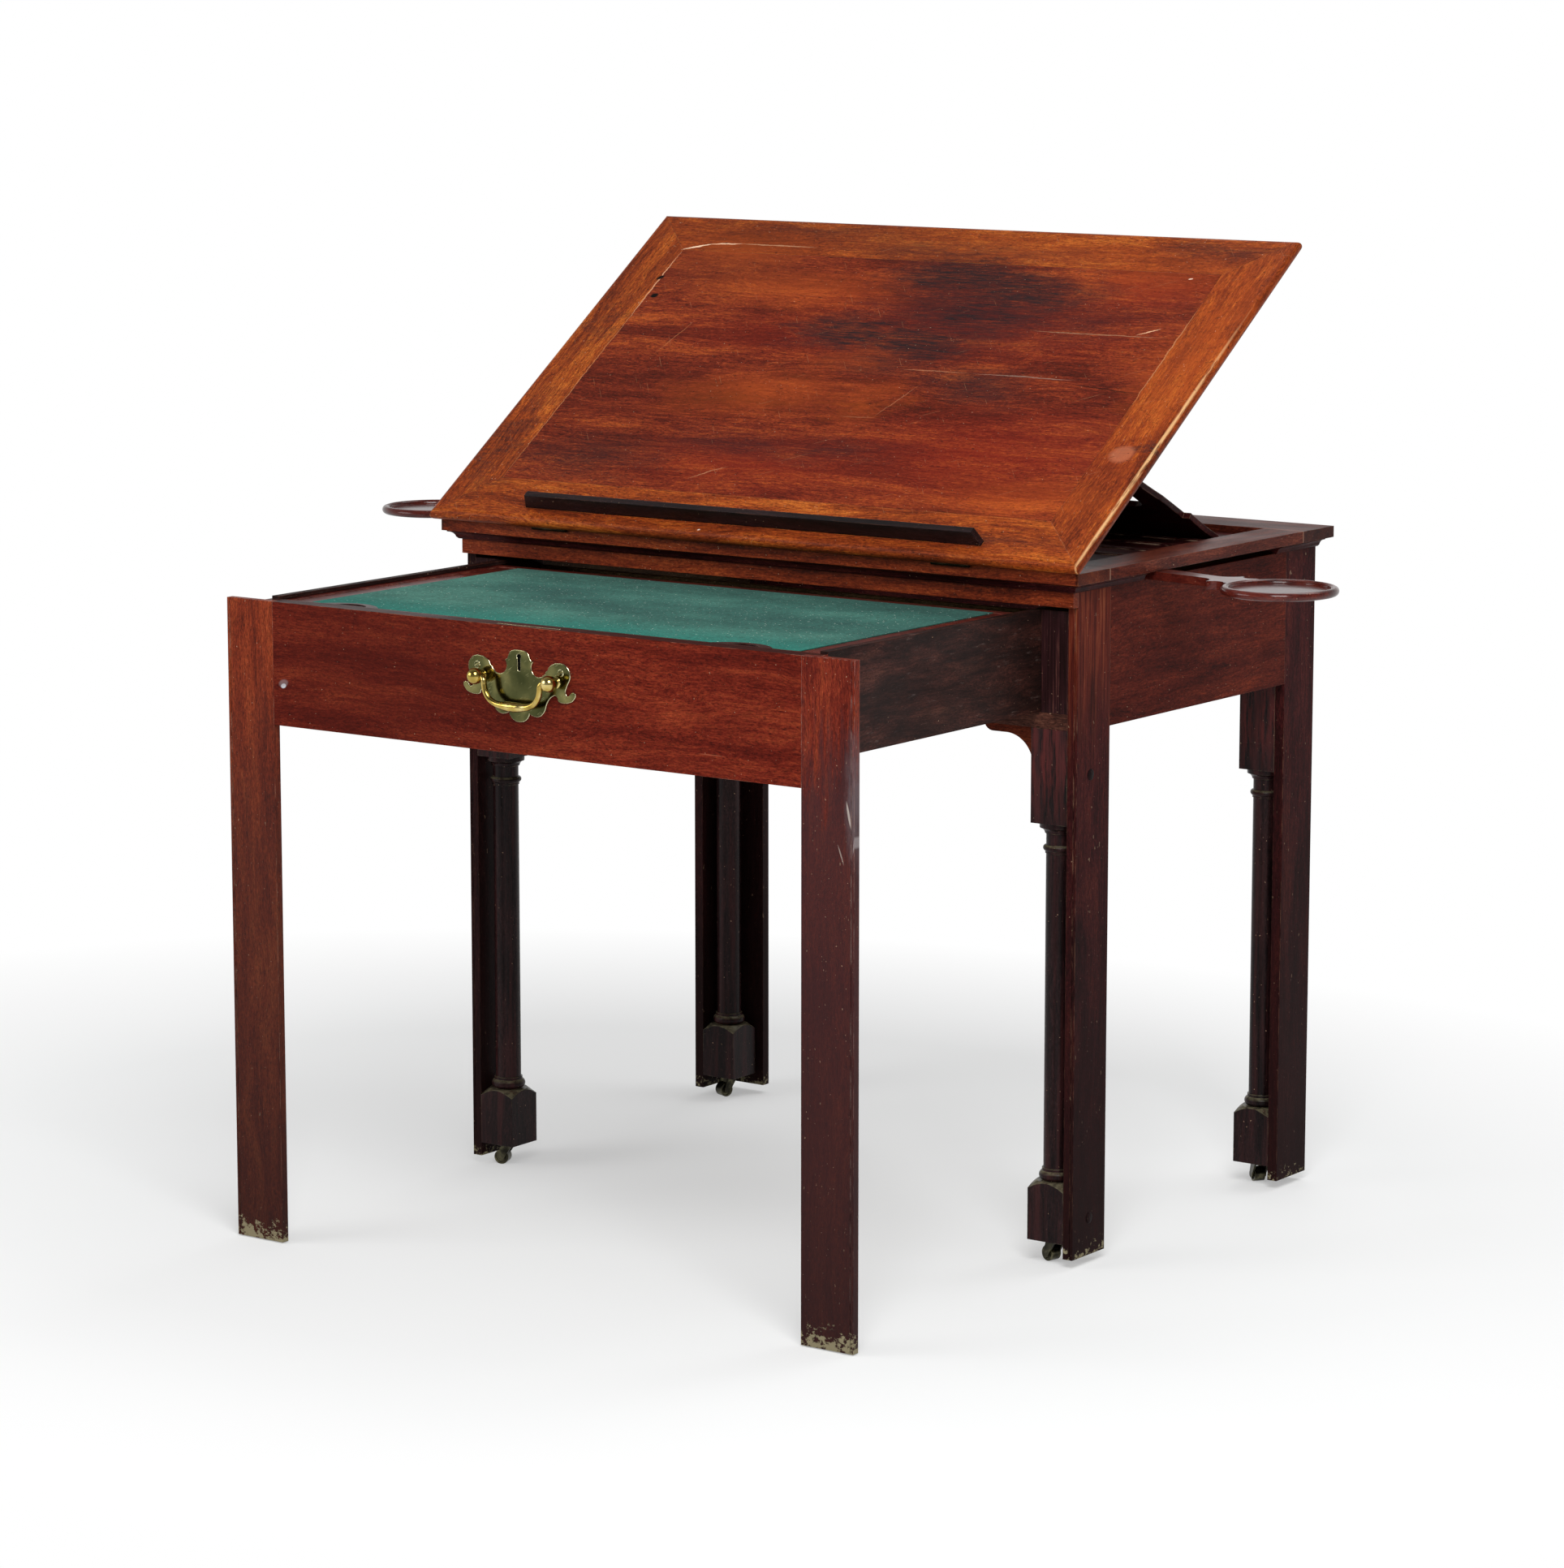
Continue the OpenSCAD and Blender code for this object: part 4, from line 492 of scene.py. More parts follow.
MAKE = {
    "top_panel": wood("mahogany_polished_panel", TOP_TONES, TOP_X, figure=0.3, across=0.045, seed=0.31,
                      marks=top_marks, wear=0.35, worn="#b8652c"),
    "top_long": wood("mahogany_polished_long_border", EDGE_TONES, TOP_X, seed=1.7, marks=top_marks, wear=0.6,
                     worn="#d07a34", arris=0.0022),
    "top_short": wood("mahogany_polished_short_border", EDGE_TONES, TOP_UP, seed=2.9, marks=top_marks,
                      wear=0.5, worn="#c8702f", arris=0.0016),
    "drawer_front": wood("mahogany_polished_front", FRONT_TONES, figure=0.3, across=0.04, seed=0.9,
                         shine=0.03, marks=front_marks, worn="#b0806a", wear=0.8, arris=0.001),
    "frieze_rail": wood("mahogany_polished_frieze", FRIEZE_TONES, seed=4.4, wear=0.6, worn="#a35c34"),
    "drawer_leg_left": wood("mahogany_polished_left_drawer_leg", LEG_TONES, ALONG_Z, seed=3.3, wear=0.8,
                            worn="#b0806a", feet=True, marks=leg_browned, arris=0.0012),
    "drawer_leg_right": wood("mahogany_polished_right_drawer_leg", FRONT_TONES, ALONG_Z, seed=3.9, wear=0.9,
                             worn="#a3847a", feet=True, marks=leg_smudge, arris=0.0012),
    "leg_board_back_right": wood("mahogany_polished_leg", SHADE_TONES, ALONG_Z, seed=5.1, shine=0.02,
                                 wear=0.9, worn="#8c6450", feet=True, marks=leg_darkened),
    "leg_board_front_right": wood("mahogany_polished_front_leg", SHADE_TONES, ALONG_Z, seed=5.1, shine=0.02,
                                  wear=0.9, worn="#8c6450", feet=True, marks=leg_reddened),
    # The strips' pale arrises are partly wear and partly painted highlight, so that the strips show in the
    # dark well.
    "ratchet_board": wood("mahogany_ratchet_strips", SHADE_TONES, seed=12.9, rough=0.4, worn="#c3a58c",
                          wear=1.0, arris=0.002),
    # The left legs: their mahogany painted near black as shade.
    "leg_far": wood("mahogany_left_leg_painted_shade", LEFT_LEG_SHADE_TONES, ALONG_Z, seed=5.4, shine=0.03, wear=0.8,
                    worn="#7a5444", feet=True, arris=0.0012),
    "bracket": wood("mahogany_polished_bracket", ("#35130d", "#572213", "#6d2f1b", "#84421f"), seed=5.7,
                    shine=0.03, wear=0.6),
    # The pellets: dark end grain, painted near black partly as the shade in the gap round each pellet.
    "pellet": wood("mahogany_turned_pellet", BLACK_TONES, ALONG_Z, seed=5.9, shine=0.02, worn="#4a2c26",
                   arris=0.0008),
    "side": wood("mahogany_polished_side", ("#2e0f0b", "#481811", "#562016", "#702d1c"), ALONG_Y, seed=6.1,
                 shine=0.02, arris=0.0012),
    "back_panel": wood("mahogany_polished_back", SHADE_TONES, seed=7.7, shine=0.04, arris=0.0012),
    "frame_rail_front": wood("mahogany_frame_front", FRIEZE_TONES, seed=8.2, wear=0.7, worn="#a9623a",
                             marks=rail_ends),
    "frame_rail_back": wood("mahogany_frame_long", FRAME_TONES, seed=8.4, shine=0.05, wear=0.9,
                            worn="#a07462", arris=0.001, marks=rail_ends),
    "frame_short": wood("mahogany_frame_short", FRAME_TONES, ALONG_Y, seed=8.9, shine=0.05, wear=0.9,
                        worn="#a07462", arris=0.001, marks=rail_joints),
    "cove_moulding": wood("mahogany_cove", SHADE_TONES, seed=9.1, shine=0.02, wear=0.5),
    "column": wood("mahogany_blackened_column", BLACK_TONES, ALONG_Z, seed=9.4, rough=0.26, shine=0.1,
                   worn="#6d6650", wear=0.7, marks=block_streaks),
    "book_rest": wood("mahogany_blackened", BLACK_TONES, seed=10.3, rough=0.3, shine=0.2, worn="#7a4a36"),
    "bearer_rail": wood("mahogany_worn_bearer", ("#1d100d", "#3a2019", "#4d2c22", "#664233"), seed=10.9,
                        worn="#7a4a36"),
    "easel_long": wood("mahogany_easel_long", SHADE_TONES, seed=12.3, rough=0.4, worn="#8a6a50", wear=0.9),
    "easel_short": wood("mahogany_easel_short", SHADE_TONES, ALONG_Y, seed=13.3, rough=0.4, worn="#94796a",
                        wear=1.0, arris=0.0024),
    "drawer_side": wood("mahogany_oiled_drawer_side", DRAWER_TONES, ALONG_Y, figure=0.14, across=0.014,
                        seed=14.1, rough=0.44, soil=0.5, worn="#7a4030", marks=drawer_dirt, relief=0.25),
    "slide_board": wood("mahogany_polished_slide", SLIDE_TONES, seed=15.2, rough=0.3, shine=0.2,
                        worn="#a4745c", wear=0.6, arris=0.001),
    "finger_pulls": wood("mahogany_oiled_pull", ("#160908", "#25100e", "#321613", "#4a241e"), seed=15.8,
                         shine=0.2),
    # Finely turned and waxed, so that the dished tops mirror the light room.
    "stand": wood("mahogany_waxed_stand", STAND_TONES, seed=16.6, rough=0.3, shine=0.1, gloss=0.5, wear=0.2,
                  relief=0.01, grit=0.1, pores=0.1),
    "deal_long": wood("deal_planed_long", DEAL_TONES, seed=17.2, rough=0.62, worn="#8a6d48", pores=0.15,
                      pore="#2a1c10"),
    "drawer_bottom": wood("deal_planed_short", DEAL_TONES, ALONG_Y, seed=18.2, rough=0.62, worn="#8a6d48",
                          pores=0.15, pore="#2a1c10"),
    # The guides' deal is painted dark as shade, where it stands in the drawer opening.
    "drawer_guides": wood("deal_guide_faced_painted_shade", ("#1a110c", "#2c1f16", "#38291d", "#4b3a28"), ALONG_Y,
                          seed=18.9, rough=0.6, worn="#6a4a38", pores=0.15, pore="#2a1c10",
                          marks=guide_front),
    # Lacquered brass gone olive, with dirt in its hollows, and painted highlights on its edges and chamfer.
    "brass": metal("brass_lacquered", ("#3f4226", "#555634", "#8a8454"), 0.16, grit=0.016, dirt=0.2,
                   scratched=0.04, bright="#f3e8b4", arris=0.0012, marks=plate_highlight_and_scratches),
    # The bail, kept bright by hands.
    "bail": metal("brass_handled", ("#96803c", "#c0a557", "#f3e2a2"), 0.15, grit=0.012, dirt=0.3,
                  scratched=0.04),
    # Brass hinges, brown with dirt and old oil, and painted dark partly as shade, so that they sink into the
    # shadow where they sit.
    "hinge": metal("brass_hinge", ("#1b140e", "#2a2017", "#463a2a"), 0.45, soil="#15110c", dirt=0.6),
    # Brass castors, nearly black with floor dirt.
    "castor": metal("brass_castor", ("#211f18", "#3b382b", "#757056"), 0.3, 0.9, grit=0.005, soil="#17150f",
                    dirt=0.6),
    "stand_pivots": metal("iron_turned", ("#211f1e", "#3a3633", "#5c5650"), 0.5, 0.9),
}


def baize_cloth():
    """Woollen baize, milled and raised: matt blue-green pile with pale lint, and a deeper, brighter teal
    painted along its front as light.
    """
    mat, tree, place = start("baize_wool_milled")
    fade = cloud(tree, place, (0.22, 0.14, 0.2), 4, 0.6)
    colour = add(tree, "ValToRGB", {0: fade}, [(0.34, "#1f4c45"), (0.5, "#2c5d53"), (0.68, "#407366")])
    # Front edge: painted light, a brighter teal where the front lies out of the frieze's shade.
    y = add(tree, "SeparateXYZ", {0: place}, out="Y")
    front = add(tree, "MapRange", {0: y, 1: at(0, -392, 0).y, 2: at(0, -290, 0).y, 3: 0.85, 4: 0.0})
    colour = add(tree, "Mix", {0: front, 6: colour, 7: "#147063"}, **MIXED)
    # Pile: fibres 1 mm across, drawn three times as coarse so that they show.
    pile = cloud(tree, place, (0.0042, 0.003, 0.003), 4, 0.8)
    grey = add(tree, "ValToRGB", {0: pile}, [(0.32, 0.12), (0.68, 0.88)])
    colour = add(tree, "Mix", {0: 0.6, 6: colour, 7: grey}, **MIXED, blend_type="OVERLAY")
    lint = mottled(tree, place, (0.004, 0.0026, 0.0036), [(0.712, 0.0), (0.752, 0.85)], 1)
    colour = add(tree, "Mix", {0: lint, 6: colour, 7: "#d3e2d5"}, **MIXED)
    bump = add(tree, "Bump", {"Height": pile, "Strength": 0.5, "Distance": 0.0006})
    return closed(mat, {"Base Color": colour, "Roughness": 0.95, "Specular IOR Level": 0.05,
                        "Sheen Weight": 0.05, "Sheen Roughness": 0.5, "Normal": bump})


MAKE["baize"] = baize_cloth()

# The finishes that several pieces share, or that an added piece wears too.
WORN_BY = {
    "top_long": "top_border_front top_border_back",
    "top_short": "top_border_left top_border_right",
    "leg_far": "leg_board_front_left leg_board_back_left",
    "side": "side_panel_left side_panel_right",
    "bracket": "bracket_left bracket_right",
    "column": "column_front_left column_front_right column_back_left column_back_right",
    "frame_short": "frame_rail_left frame_rail_right",
    "deal_long": "dust_board drawer_back",
    "easel_long": "easel_foot_rail easel_top_rail",
    "easel_short": "easel_side_left easel_side_right",
    "drawer_side": "drawer_side_left drawer_side_right",
    "stand": "candle_stand_left candle_stand_right",
    "hinge": "top_hinge_leaves top_hinge_straps easel_hinge_leaves easel_hinge_knuckles",
    "brass": "handle_plate",
}
WEARS = {name: finish for finish, names in WORN_BY.items() for name in names.split()}


def dress(obj, finish):
    """Gives every slot of a piece one finish."""
    if not obj.data.materials:
        obj.data.materials.append(MAKE[finish])
    for slot in obj.material_slots:
        slot.material = MAKE[finish]


# Each piece wears the finish of its own name or one from the table; the rest are castors.
for name, obj in nodes.items():
    dress(obj, name if name in MAKE else WEARS.get(name, "castor"))


# ---------- hand modelling ----------

def clear_selection():
    """Leaves edit mode and selects nothing."""
    if bpy.context.object and bpy.context.object.mode != "OBJECT":
        bpy.ops.object.mode_set(mode="OBJECT")
    bpy.ops.object.select_all(action="DESELECT")


def pick(obj):
    """Selects one piece alone and makes it active."""
    clear_selection()
    obj.select_set(True)
    bpy.context.view_layer.objects.active = obj


def settle(obj):
    """Brings a finished piece's place into its mesh."""
    pick(obj)
    bpy.ops.object.transform_apply(location=True, rotation=True, scale=True)


def finish_piece(obj, name, finish, body, angle=35):
    """Names a piece, gives it its finish and lets it ride on its body."""
    settle(obj)
    obj.name = name
    obj.data.name = name
    pick(obj)
    bpy.ops.object.shade_smooth_by_angle(angle=math.radians(angle))
    obj.data.materials.clear()
    obj.data.materials.append(MAKE[finish])
    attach(obj, body)
    return obj


def turned(profile, sides=40):
    """A turned piece along Z: a ring extruded and drawn in or out to each (radius, height)."""
    clear_selection()
    radius, height = profile[0]
    bpy.ops.mesh.primitive_circle_add(vertices=sides, radius=radius, fill_type="NGON", location=(0, 0, 0))
    obj = bpy.context.object
    bpy.ops.object.mode_set(mode="EDIT")
    bpy.ops.transform.translate(value=(0, 0, height))
    for next_radius, next_height in profile[1:]:
        bpy.ops.mesh.extrude_region_move(TRANSFORM_OT_translate={"value": (0, 0, next_height - height)})
        grow = next_radius / radius
        bpy.ops.transform.resize(value=(grow, grow, 1))
        radius, height = next_radius, next_height
    bpy.ops.mesh.select_all(action="SELECT")
    bpy.ops.mesh.normals_make_consistent(inside=False)
    bpy.ops.object.mode_set(mode="OBJECT")
    return obj


def copied(obj):
    """A copy with its own mesh."""
    other = obj.copy()
    other.data = obj.data.copy()
    bpy.context.scene.collection.objects.link(other)
    return other


def joined(pieces):
    """Several pieces as one."""
    pick(pieces[0])
    for piece in pieces:
        piece.select_set(True)
    bpy.ops.object.join()
    return bpy.context.object


def board(low, high, bevel=0.0):
    """A block between two corners, with its arrises taken off where a bevel is given."""
    clear_selection()
    bpy.ops.mesh.primitive_cube_add(size=1, location=(low + high) / 2)
    obj = bpy.context.object
    obj.scale = high - low
    settle(obj)
    if bevel:
        bpy.ops.object.mode_set(mode="EDIT")
        bpy.ops.mesh.select_all(action="SELECT")
        bpy.ops.mesh.bevel(offset=bevel, segments=2, affect="EDGES")
        bpy.ops.object.mode_set(mode="OBJECT")
    return obj


def cut_from(obj, cutter):
    """Cuts one piece out of another and throws the cutter away."""
    pick(obj)
    tool = obj.modifiers.new("cut", "BOOLEAN")
    tool.operation = "DIFFERENCE"
    tool.object = cutter
    tool.solver = "EXACT"
    bpy.ops.object.modifier_apply(modifier="cut")
    bpy.data.objects.remove(cutter)


def as_mesh(name, shape):
    """A drawn curve, turned into a mesh."""
    obj = bpy.data.objects.new(name, shape)
    bpy.context.scene.collection.objects.link(obj)
    pick(obj)
    bpy.ops.object.convert(target="MESH")
    return bpy.context.object


# ---------- drawer handle ----------

# The open drawer's front face, and the middle of its handle between the posts, in mm.
DRAWER_FACE = -422
HANDLE = at(-10, DRAWER_FACE, 690)
# How far the posts and screws lie to each side of the middle, and the screws above it, in mm.
POST_X, SCREW_X, SCREW_UP = 51.5, 58, 11
# How far out the plate's middle, its screws' seats and the balls with the pivots lie, in metres.
PLATE_OUT, SEAT_OUT, BALL_OUT = 0.00102, 0.0019, 0.0145
# The keyhole in mm: the radius and height of its round eye, and the foot of the slot below.
EYE_R, EYE_UP = 3.0, 24.3
SLOT_FOOT = [(2.0, 9.2), (1.4, 8.3), (-1.4, 8.3), (-2.0, 9.2)]
# Right half of the back plate's outline in mm from the middle between its posts.
PLATE_EDGE = [
    (2.6, 31.6), (6.5, 31.2), (9.9, 30.3), (12.6, 28.4), (14.2, 25.8), (15.2, 23.0), (16.5, 20.7),
    (19.4, 19.9), (17.9, 17.5), (17.1, 15.4), (17.0, 12.0), (18.3, 8.8), (20.2, 6.2), (23.1, 4.3),
    (27.0, 3.4), (31.0, 4.2), (34.0, 6.0), (36.5, 8.4), (37.4, 10.6), (39.9, 12.4), (41.0, 15.2),
    (43.9, 18.0), (50.0, 20.9), (57.3, 21.7), (62.4, 20.8), (65.8, 18.6), (68.9, 15.3), (70.5, 11.3),
    (70.9, 7.4), (69.9, 3.5), (67.2, -1.0), (65.6, -4.5), (64.0, -8.0), (64.3, -10.8), (65.6, -13.2),
    (67.9, -14.0), (70.4, -12.0), (72.2, -9.7), (75.2, -9.0), (77.8, -10.4), (78.0, -13.4), (76.3, -16.1),
    (73.6, -19.0), (70.3, -20.5), (65.4, -21.8), (60.5, -21.9), (57.0, -21.7), (54.5, -20.5), (53.4, -17.6),
    (52.1, -15.4), (50.2, -14.3), (48.5, -14.7), (44.4, -16.9), (41.1, -20.2), (38.9, -23.6), (37.4, -27.3),
    (36.0, -31.8), (33.7, -35.4), (30.9, -38.2), (27.5, -39.8), (23.8, -40.5), (20.2, -40.0), (17.0, -39.1),
    (14.1, -37.4), (13.6, -40.2), (11.6, -43.2), (8.9, -45.6), (5.4, -47.2), (2.6, -47.9),
]


def pierced_plate():
    """The chased back plate: a flat cut outline with a rounded arris and a keyhole."""
    shape = bpy.data.curves.new("handle_plate_cut", "CURVE")
    shape.dimensions = "2D"
    shape.fill_mode = "BOTH"
    shape.extrude = 0.00008
    shape.bevel_depth = 0.0009
    shape.bevel_resolution = 3
    shape.offset = -0.0007
    outline = PLATE_EDGE + [(-x, z) for x, z in reversed(PLATE_EDGE)]
    turns = [math.radians(degrees) for degrees in range(-136, 137, 16)]
    keyhole = [(EYE_R * math.sin(turn), EYE_UP + EYE_R * math.cos(turn)) for turn in turns] + SLOT_FOOT
    for points in (outline, keyhole):
        line = shape.splines.new("POLY")
        line.points.add(len(points) - 1)
        for point, (x, z) in zip(line.points, points):
            point.co = (x / 1000, z / 1000, 0, 1)
        line.use_cyclic_u = True
    obj = as_mesh("handle_plate_cut", shape)
    obj.rotation_euler = (math.pi / 2, 0, 0)
    obj.location = HANDLE + Vector((0, -PLATE_OUT, 0))
    settle(obj)
    return obj


def shifted(obj, dx, dz):
    """Moves a piece's mesh across the plate, in mm."""
    obj.location = Vector((dx / 1000, 0, dz / 1000))
    settle(obj)
    return obj


def ball_post():
    """A turned post: rose, neck and flattened ball, with a collar on its nose."""
    profile = [
        (0.0064, 0.0019), (0.0064, 0.0028), (0.0056, 0.0036), (0.004, 0.0043), (0.0037, 0.005),
        (0.005, 0.0057), (0.0068, 0.0072), (0.0082, 0.0094), (0.009, 0.0122), (0.0092, 0.0145),
        (0.0088, 0.0172), (0.0076, 0.0199), (0.0056, 0.022), (0.0031, 0.0232), (0.001, 0.0235),
    ]
    obj = turned(profile, 36)
    obj.rotation_euler = (math.pi / 2, 0, 0)
    obj.location = HANDLE
    settle(obj)
    return obj


def plate_screw():
    """A countersunk screw head with its slot."""
    obj = turned([(0.004, 0.0), (0.004, 0.0007), (0.0034, 0.0011), (0.0012, 0.0012)], 24)
    slot = board(Vector((-0.005, -0.0005, 0.0003)), Vector((0.005, 0.0005, 0.003)))
    slot.rotation_euler = (0, 0, 0.5)
    settle(slot)
    cut_from(obj, slot)
    obj.rotation_euler = (math.pi / 2, 0, 0)
    obj.location = HANDLE + Vector((0, -SEAT_OUT, 0))
    settle(obj)
    return obj


screw = plate_screw()
screws = [shifted(copied(screw), SCREW_X, SCREW_UP), shifted(screw, -SCREW_X, SCREW_UP)]
plate = joined([pierced_plate()] + screws)
finish_piece(plate, "handle_plate_pierced", "brass", "drawer", 30)
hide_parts("handle_plate")
post = ball_post()
posts = joined([shifted(copied(post), POST_X, 0), shifted(post, -POST_X, 0)])
finish_piece(posts, "handle_ball_posts", "bail", "drawer", 30)

# Right half of the bail's rod in mm: X and drop from the pivots, and the rod's radius there.
BAIL_ROD = [
    (50.5, 0.0, 1.6), (46.0, 0.0, 1.7), (42.0, -0.3, 2.5), (39.3, -3.4, 3.3), (38.6, -9.0, 3.4),
    (36.6, -16.5, 3.4), (31.5, -23.4, 3.4), (24.0, -27.6, 3.5), (16.0, -29.2, 4.1), (8.0, -29.6, 5.2),
    (3.0, -29.7, 5.6), (0.0, -29.7, 5.4),
]


def bail_rod():
    """The cast bail, one rod of changing thickness: pins, arms and a lower bar that swells to its middle."""
    shape = bpy.data.curves.new("bail_rod", "CURVE")
    shape.dimensions = "3D"
    shape.bevel_depth = 0.001
    shape.bevel_resolution = 6
    shape.resolution_u = 6
    shape.use_fill_caps = True
    points = BAIL_ROD + [(-x, z, r) for x, z, r in reversed(BAIL_ROD[:-1])]
    line = shape.splines.new("BEZIER")
    line.bezier_points.add(len(points) - 1)
    for point, (x, z, radius) in zip(line.bezier_points, points):
        point.co = (x / 1000, 0, z / 1000)
        point.radius = radius
        point.handle_left_type = point.handle_right_type = "AUTO"
    obj = as_mesh("bail_rod", shape)
    obj.location = HANDLE + Vector((0, -BALL_OUT, 0))
    settle(obj)
    bpy.ops.object.mode_set(mode="EDIT")
    bpy.ops.mesh.select_all(action="SELECT")
    bpy.ops.mesh.remove_doubles(threshold=0.00002)
    bpy.ops.mesh.normals_make_consistent(inside=False)
    bpy.ops.object.mode_set(mode="OBJECT")
    return obj


bail = finish_piece(bail_rod(), "bail_cast", "bail", "bail", 40)
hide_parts("bail")

# ---------- lock ----------

# The lock's brass edge, flush with the top of the drawer front, and the hole that its bolt rises through.
selvedge = board(at(-46, DRAWER_FACE + 6.2, 745.4), at(40, DRAWER_FACE + 9.4, 747.25), 0.0003)
bolt_hole = board(at(-10, DRAWER_FACE + 7.0, 746.2), at(4, DRAWER_FACE + 8.6, 749))
cut_from(selvedge, bolt_hole)
finish_piece(selvedge, "lock_selvedge", "brass", "drawer")

# ---------- baize ----------

# The slide's front, how far behind it the cloth's middle lies, and how high, in mm; its size in metres.
SLIDE_FRONT, CLOTH_BACK, CLOTH_LOW = -400.0, 200, 744.25
CLOTH_WIDE, CLOTH_DEEP, CLOTH_THICK = 0.676, 0.3734, 0.0009
# The finger pulls in mm: how far each lies to its side, its width and depth, and the cloth's gap round it.
PULL_X, PULL_WIDE, PULL_DEEP, PULL_GAP = 272, 84, 22, 0.25
PULL_R = (PULL_WIDE * PULL_WIDE / 4 + PULL_DEEP * PULL_DEEP) / (2 * PULL_DEEP)

clear_selection()
bpy.ops.mesh.primitive_grid_add(x_subdivisions=120, y_subdivisions=64, size=1,
                                location=at(0, SLIDE_FRONT + CLOTH_BACK, CLOTH_LOW))
cloth = bpy.context.object
cloth.scale = (CLOTH_WIDE, CLOTH_DEEP, 1)
settle(cloth)
for side in (-1, 1):
    clear_selection()
    bpy.ops.mesh.primitive_cylinder_add(vertices=160, radius=(PULL_R + PULL_GAP) / 1000, depth=0.02,
                                        location=at(side * PULL_X, SLIDE_FRONT + PULL_DEEP - PULL_R, 744))
    cut_from(cloth, bpy.context.object)
pick(cloth)
thick = cloth.modifiers.new("thick", "SOLIDIFY")
thick.thickness = CLOTH_THICK
thick.offset = 1
bpy.ops.object.modifier_apply(modifier="thick")
finish_piece(cloth, "baize_cloth", "baize", "writing_slide", 60)
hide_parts("baize")

# ---------- pellets over the screws in the front leg boards ----------

# How far out the boards' outer faces stand, and where each board's two screws sit: depth and height, in mm.
BOARD_OUT = 435
SCREWS_AT = ((39, 564.5), (45, 54))
plug = turned([(0.0065, 0.0), (0.0065, 0.0003), (0.006, 0.0006), (0.0008, 0.0007)], 28)
for side, word in ((-1, "left"), (1, "right")):
    plugs = []
    for y, z in SCREWS_AT:
        # A turned wooden pellet, cut off a hair proud of the board, with a broken arris.
        pellet = copied(plug)
        pellet.rotation_euler = (0, side * math.pi / 2, 0)
        pellet.location = at(side * BOARD_OUT, y, z)
        settle(pellet)
        plugs.append(pellet)
    finish_piece(joined(plugs), "screw_pellets_" + word, "pellet", "carcass")
bpy.data.objects.remove(plug)

# ---------- camera, floor and light ----------

# Fitted to the photograph: focal length and image width in pixels, place in mm, and angles in degrees.
FOCAL, IMAGE_WIDE = 6290, 1927
EYE_AT = at(3439, -4727, 1505)
LOOKS_DOWN, STANDS_RIGHT = 9.6, 35.73
FILM_WIDE = 36

eye = bpy.data.cameras.new("photograph")
eye.sensor_width = FILM_WIDE
eye.sensor_fit = "HORIZONTAL"
eye.lens = FILM_WIDE * FOCAL / IMAGE_WIDE
eye.clip_end = 50
camera = bpy.data.objects.new("photograph", eye)
camera.location = EYE_AT
camera.rotation_euler = (math.radians(90 - LOOKS_DOWN), 0, math.radians(STANDS_RIGHT))
bpy.context.scene.collection.objects.link(camera)
bpy.context.scene.camera = camera


def lamp(name, where, aim, size, power):
    """A soft studio panel that looks at a point."""
    light = bpy.data.lights.new(name, "AREA")
    light.shape = "RECTANGLE"
    light.size, light.size_y = size
    light.energy = power
    obj = bpy.data.objects.new(name, light)
    obj.location = where
    obj.rotation_euler = (Vector(aim) - Vector(where)).to_track_quat("-Z", "Y").to_euler()
    bpy.context.scene.collection.objects.link(obj)


# Where each panel stands and looks, its size in metres and its power in watts.
lamp("key_panel", (1.9, -2.2, 3.0), (0, 0, 0.5), (1.6, 1.6), 95)
lamp("front_panel", (-2.4, -2.8, 1.8), (0, 0, 0.6), (2.0, 1.6), 34)
lamp("top_panel_light", (0.3, 1.6, 3.2), (0, 0, 0.7), (2.4, 1.2), 30)


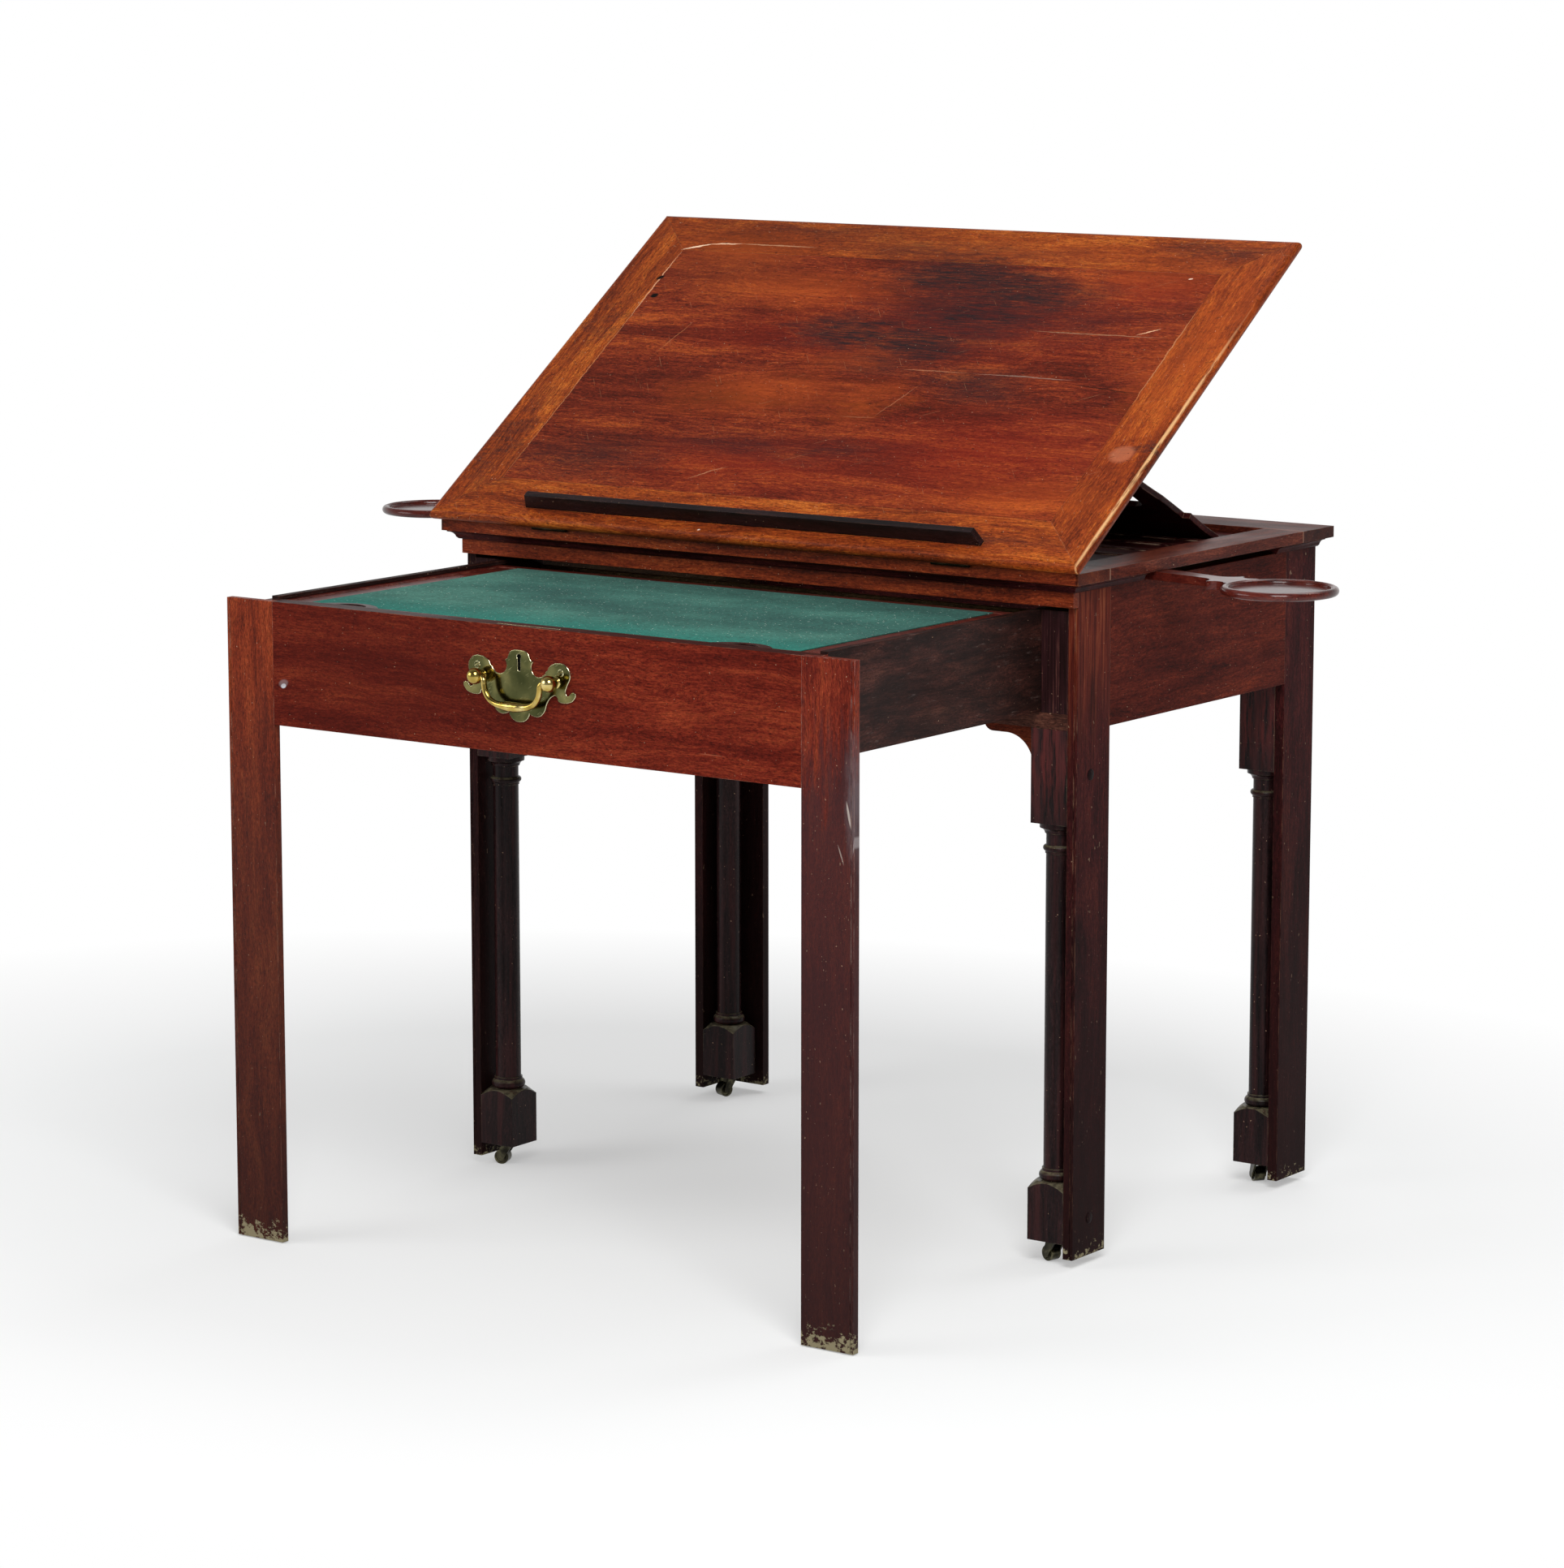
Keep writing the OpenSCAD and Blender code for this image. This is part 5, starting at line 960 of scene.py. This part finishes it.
def floor_finish():
    """Pale studio paper, matt pressed fibre that fades to white away from the object."""
    mat, tree, place = start("paper_floor")
    matt = add(tree, "BsdfDiffuse", {"Color": "#f2f3f3"})
    white = add(tree, "Emission", {"Color": "#ffffff", "Strength": 1.0})
    fade = spot(tree, place, (-0.18, 0.05), (1.75, 1.45, 1))
    lost = add(tree, "ValToRGB", {0: fade}, [(0.0, 1.0), (0.45, 0.35)])
    seen = 0.0
    for ray in ("Is Camera Ray", "Is Glossy Ray", "Is Transmission Ray"):
        seen = add(tree, "Math", {0: seen, 1: add(tree, "LightPath", out=ray)}, operation="MAXIMUM")
    share = add(tree, "Math", {0: seen, 1: lost}, operation="MULTIPLY")
    add(tree, "OutputMaterial", {"Surface": add(tree, "MixShader", {0: share, 1: matt, 2: white})})
    return mat


clear_selection()
bpy.ops.mesh.primitive_plane_add(size=14, location=(0, 0, 0))
floor = bpy.context.object
floor.name = "paper_floor"
floor.data.materials.append(floor_finish())

world = bpy.data.worlds.new("studio")
bpy.context.scene.world = world
world.use_nodes = True
sky = world.node_tree
sky.nodes.clear()
# In mirrors the backdrop is bright low down and behind the table, and dim above and on the camera's side.
# AWAY points level from the camera past the table.
AWAY = (-0.58, 0.81, 0.0)
view = add(sky, "TexCoord", out="Generated")
height = add(sky, "SeparateXYZ", {0: view}, out="Z")
low = add(sky, "MapRange", {0: height, 1: 0.12, 2: 0.5, 3: 1.0, 4: 0.34})
behind = add(sky, "VectorMath", {0: view, 1: AWAY}, operation="DOT_PRODUCT", out="Value")
near = add(sky, "MapRange", {0: behind, 1: -0.3, 2: 0.5, 3: 0.3, 4: 1.0})
level = add(sky, "Math", {0: low, 1: near}, operation="MULTIPLY")
mirrored = add(sky, "Background", {"Color": "#ffffff", "Strength": level})
dim = add(sky, "Background", {"Color": "#ffffff", "Strength": 0.42})
bright = add(sky, "Background", {"Color": "#ffffff", "Strength": 1.0})
inner = add(sky, "MixShader", {0: add(sky, "LightPath", out="Is Glossy Ray"), 1: dim, 2: mirrored})
straight = add(sky, "LightPath", out="Is Camera Ray")
through = add(sky, "LightPath", out="Is Transmission Ray")
seen = add(sky, "Math", {0: straight, 1: through}, operation="MAXIMUM")
add(sky, "OutputWorld", {"Surface": add(sky, "MixShader", {0: seen, 1: inner, 2: bright})})

bpy.context.scene.view_settings.view_transform = "Standard"
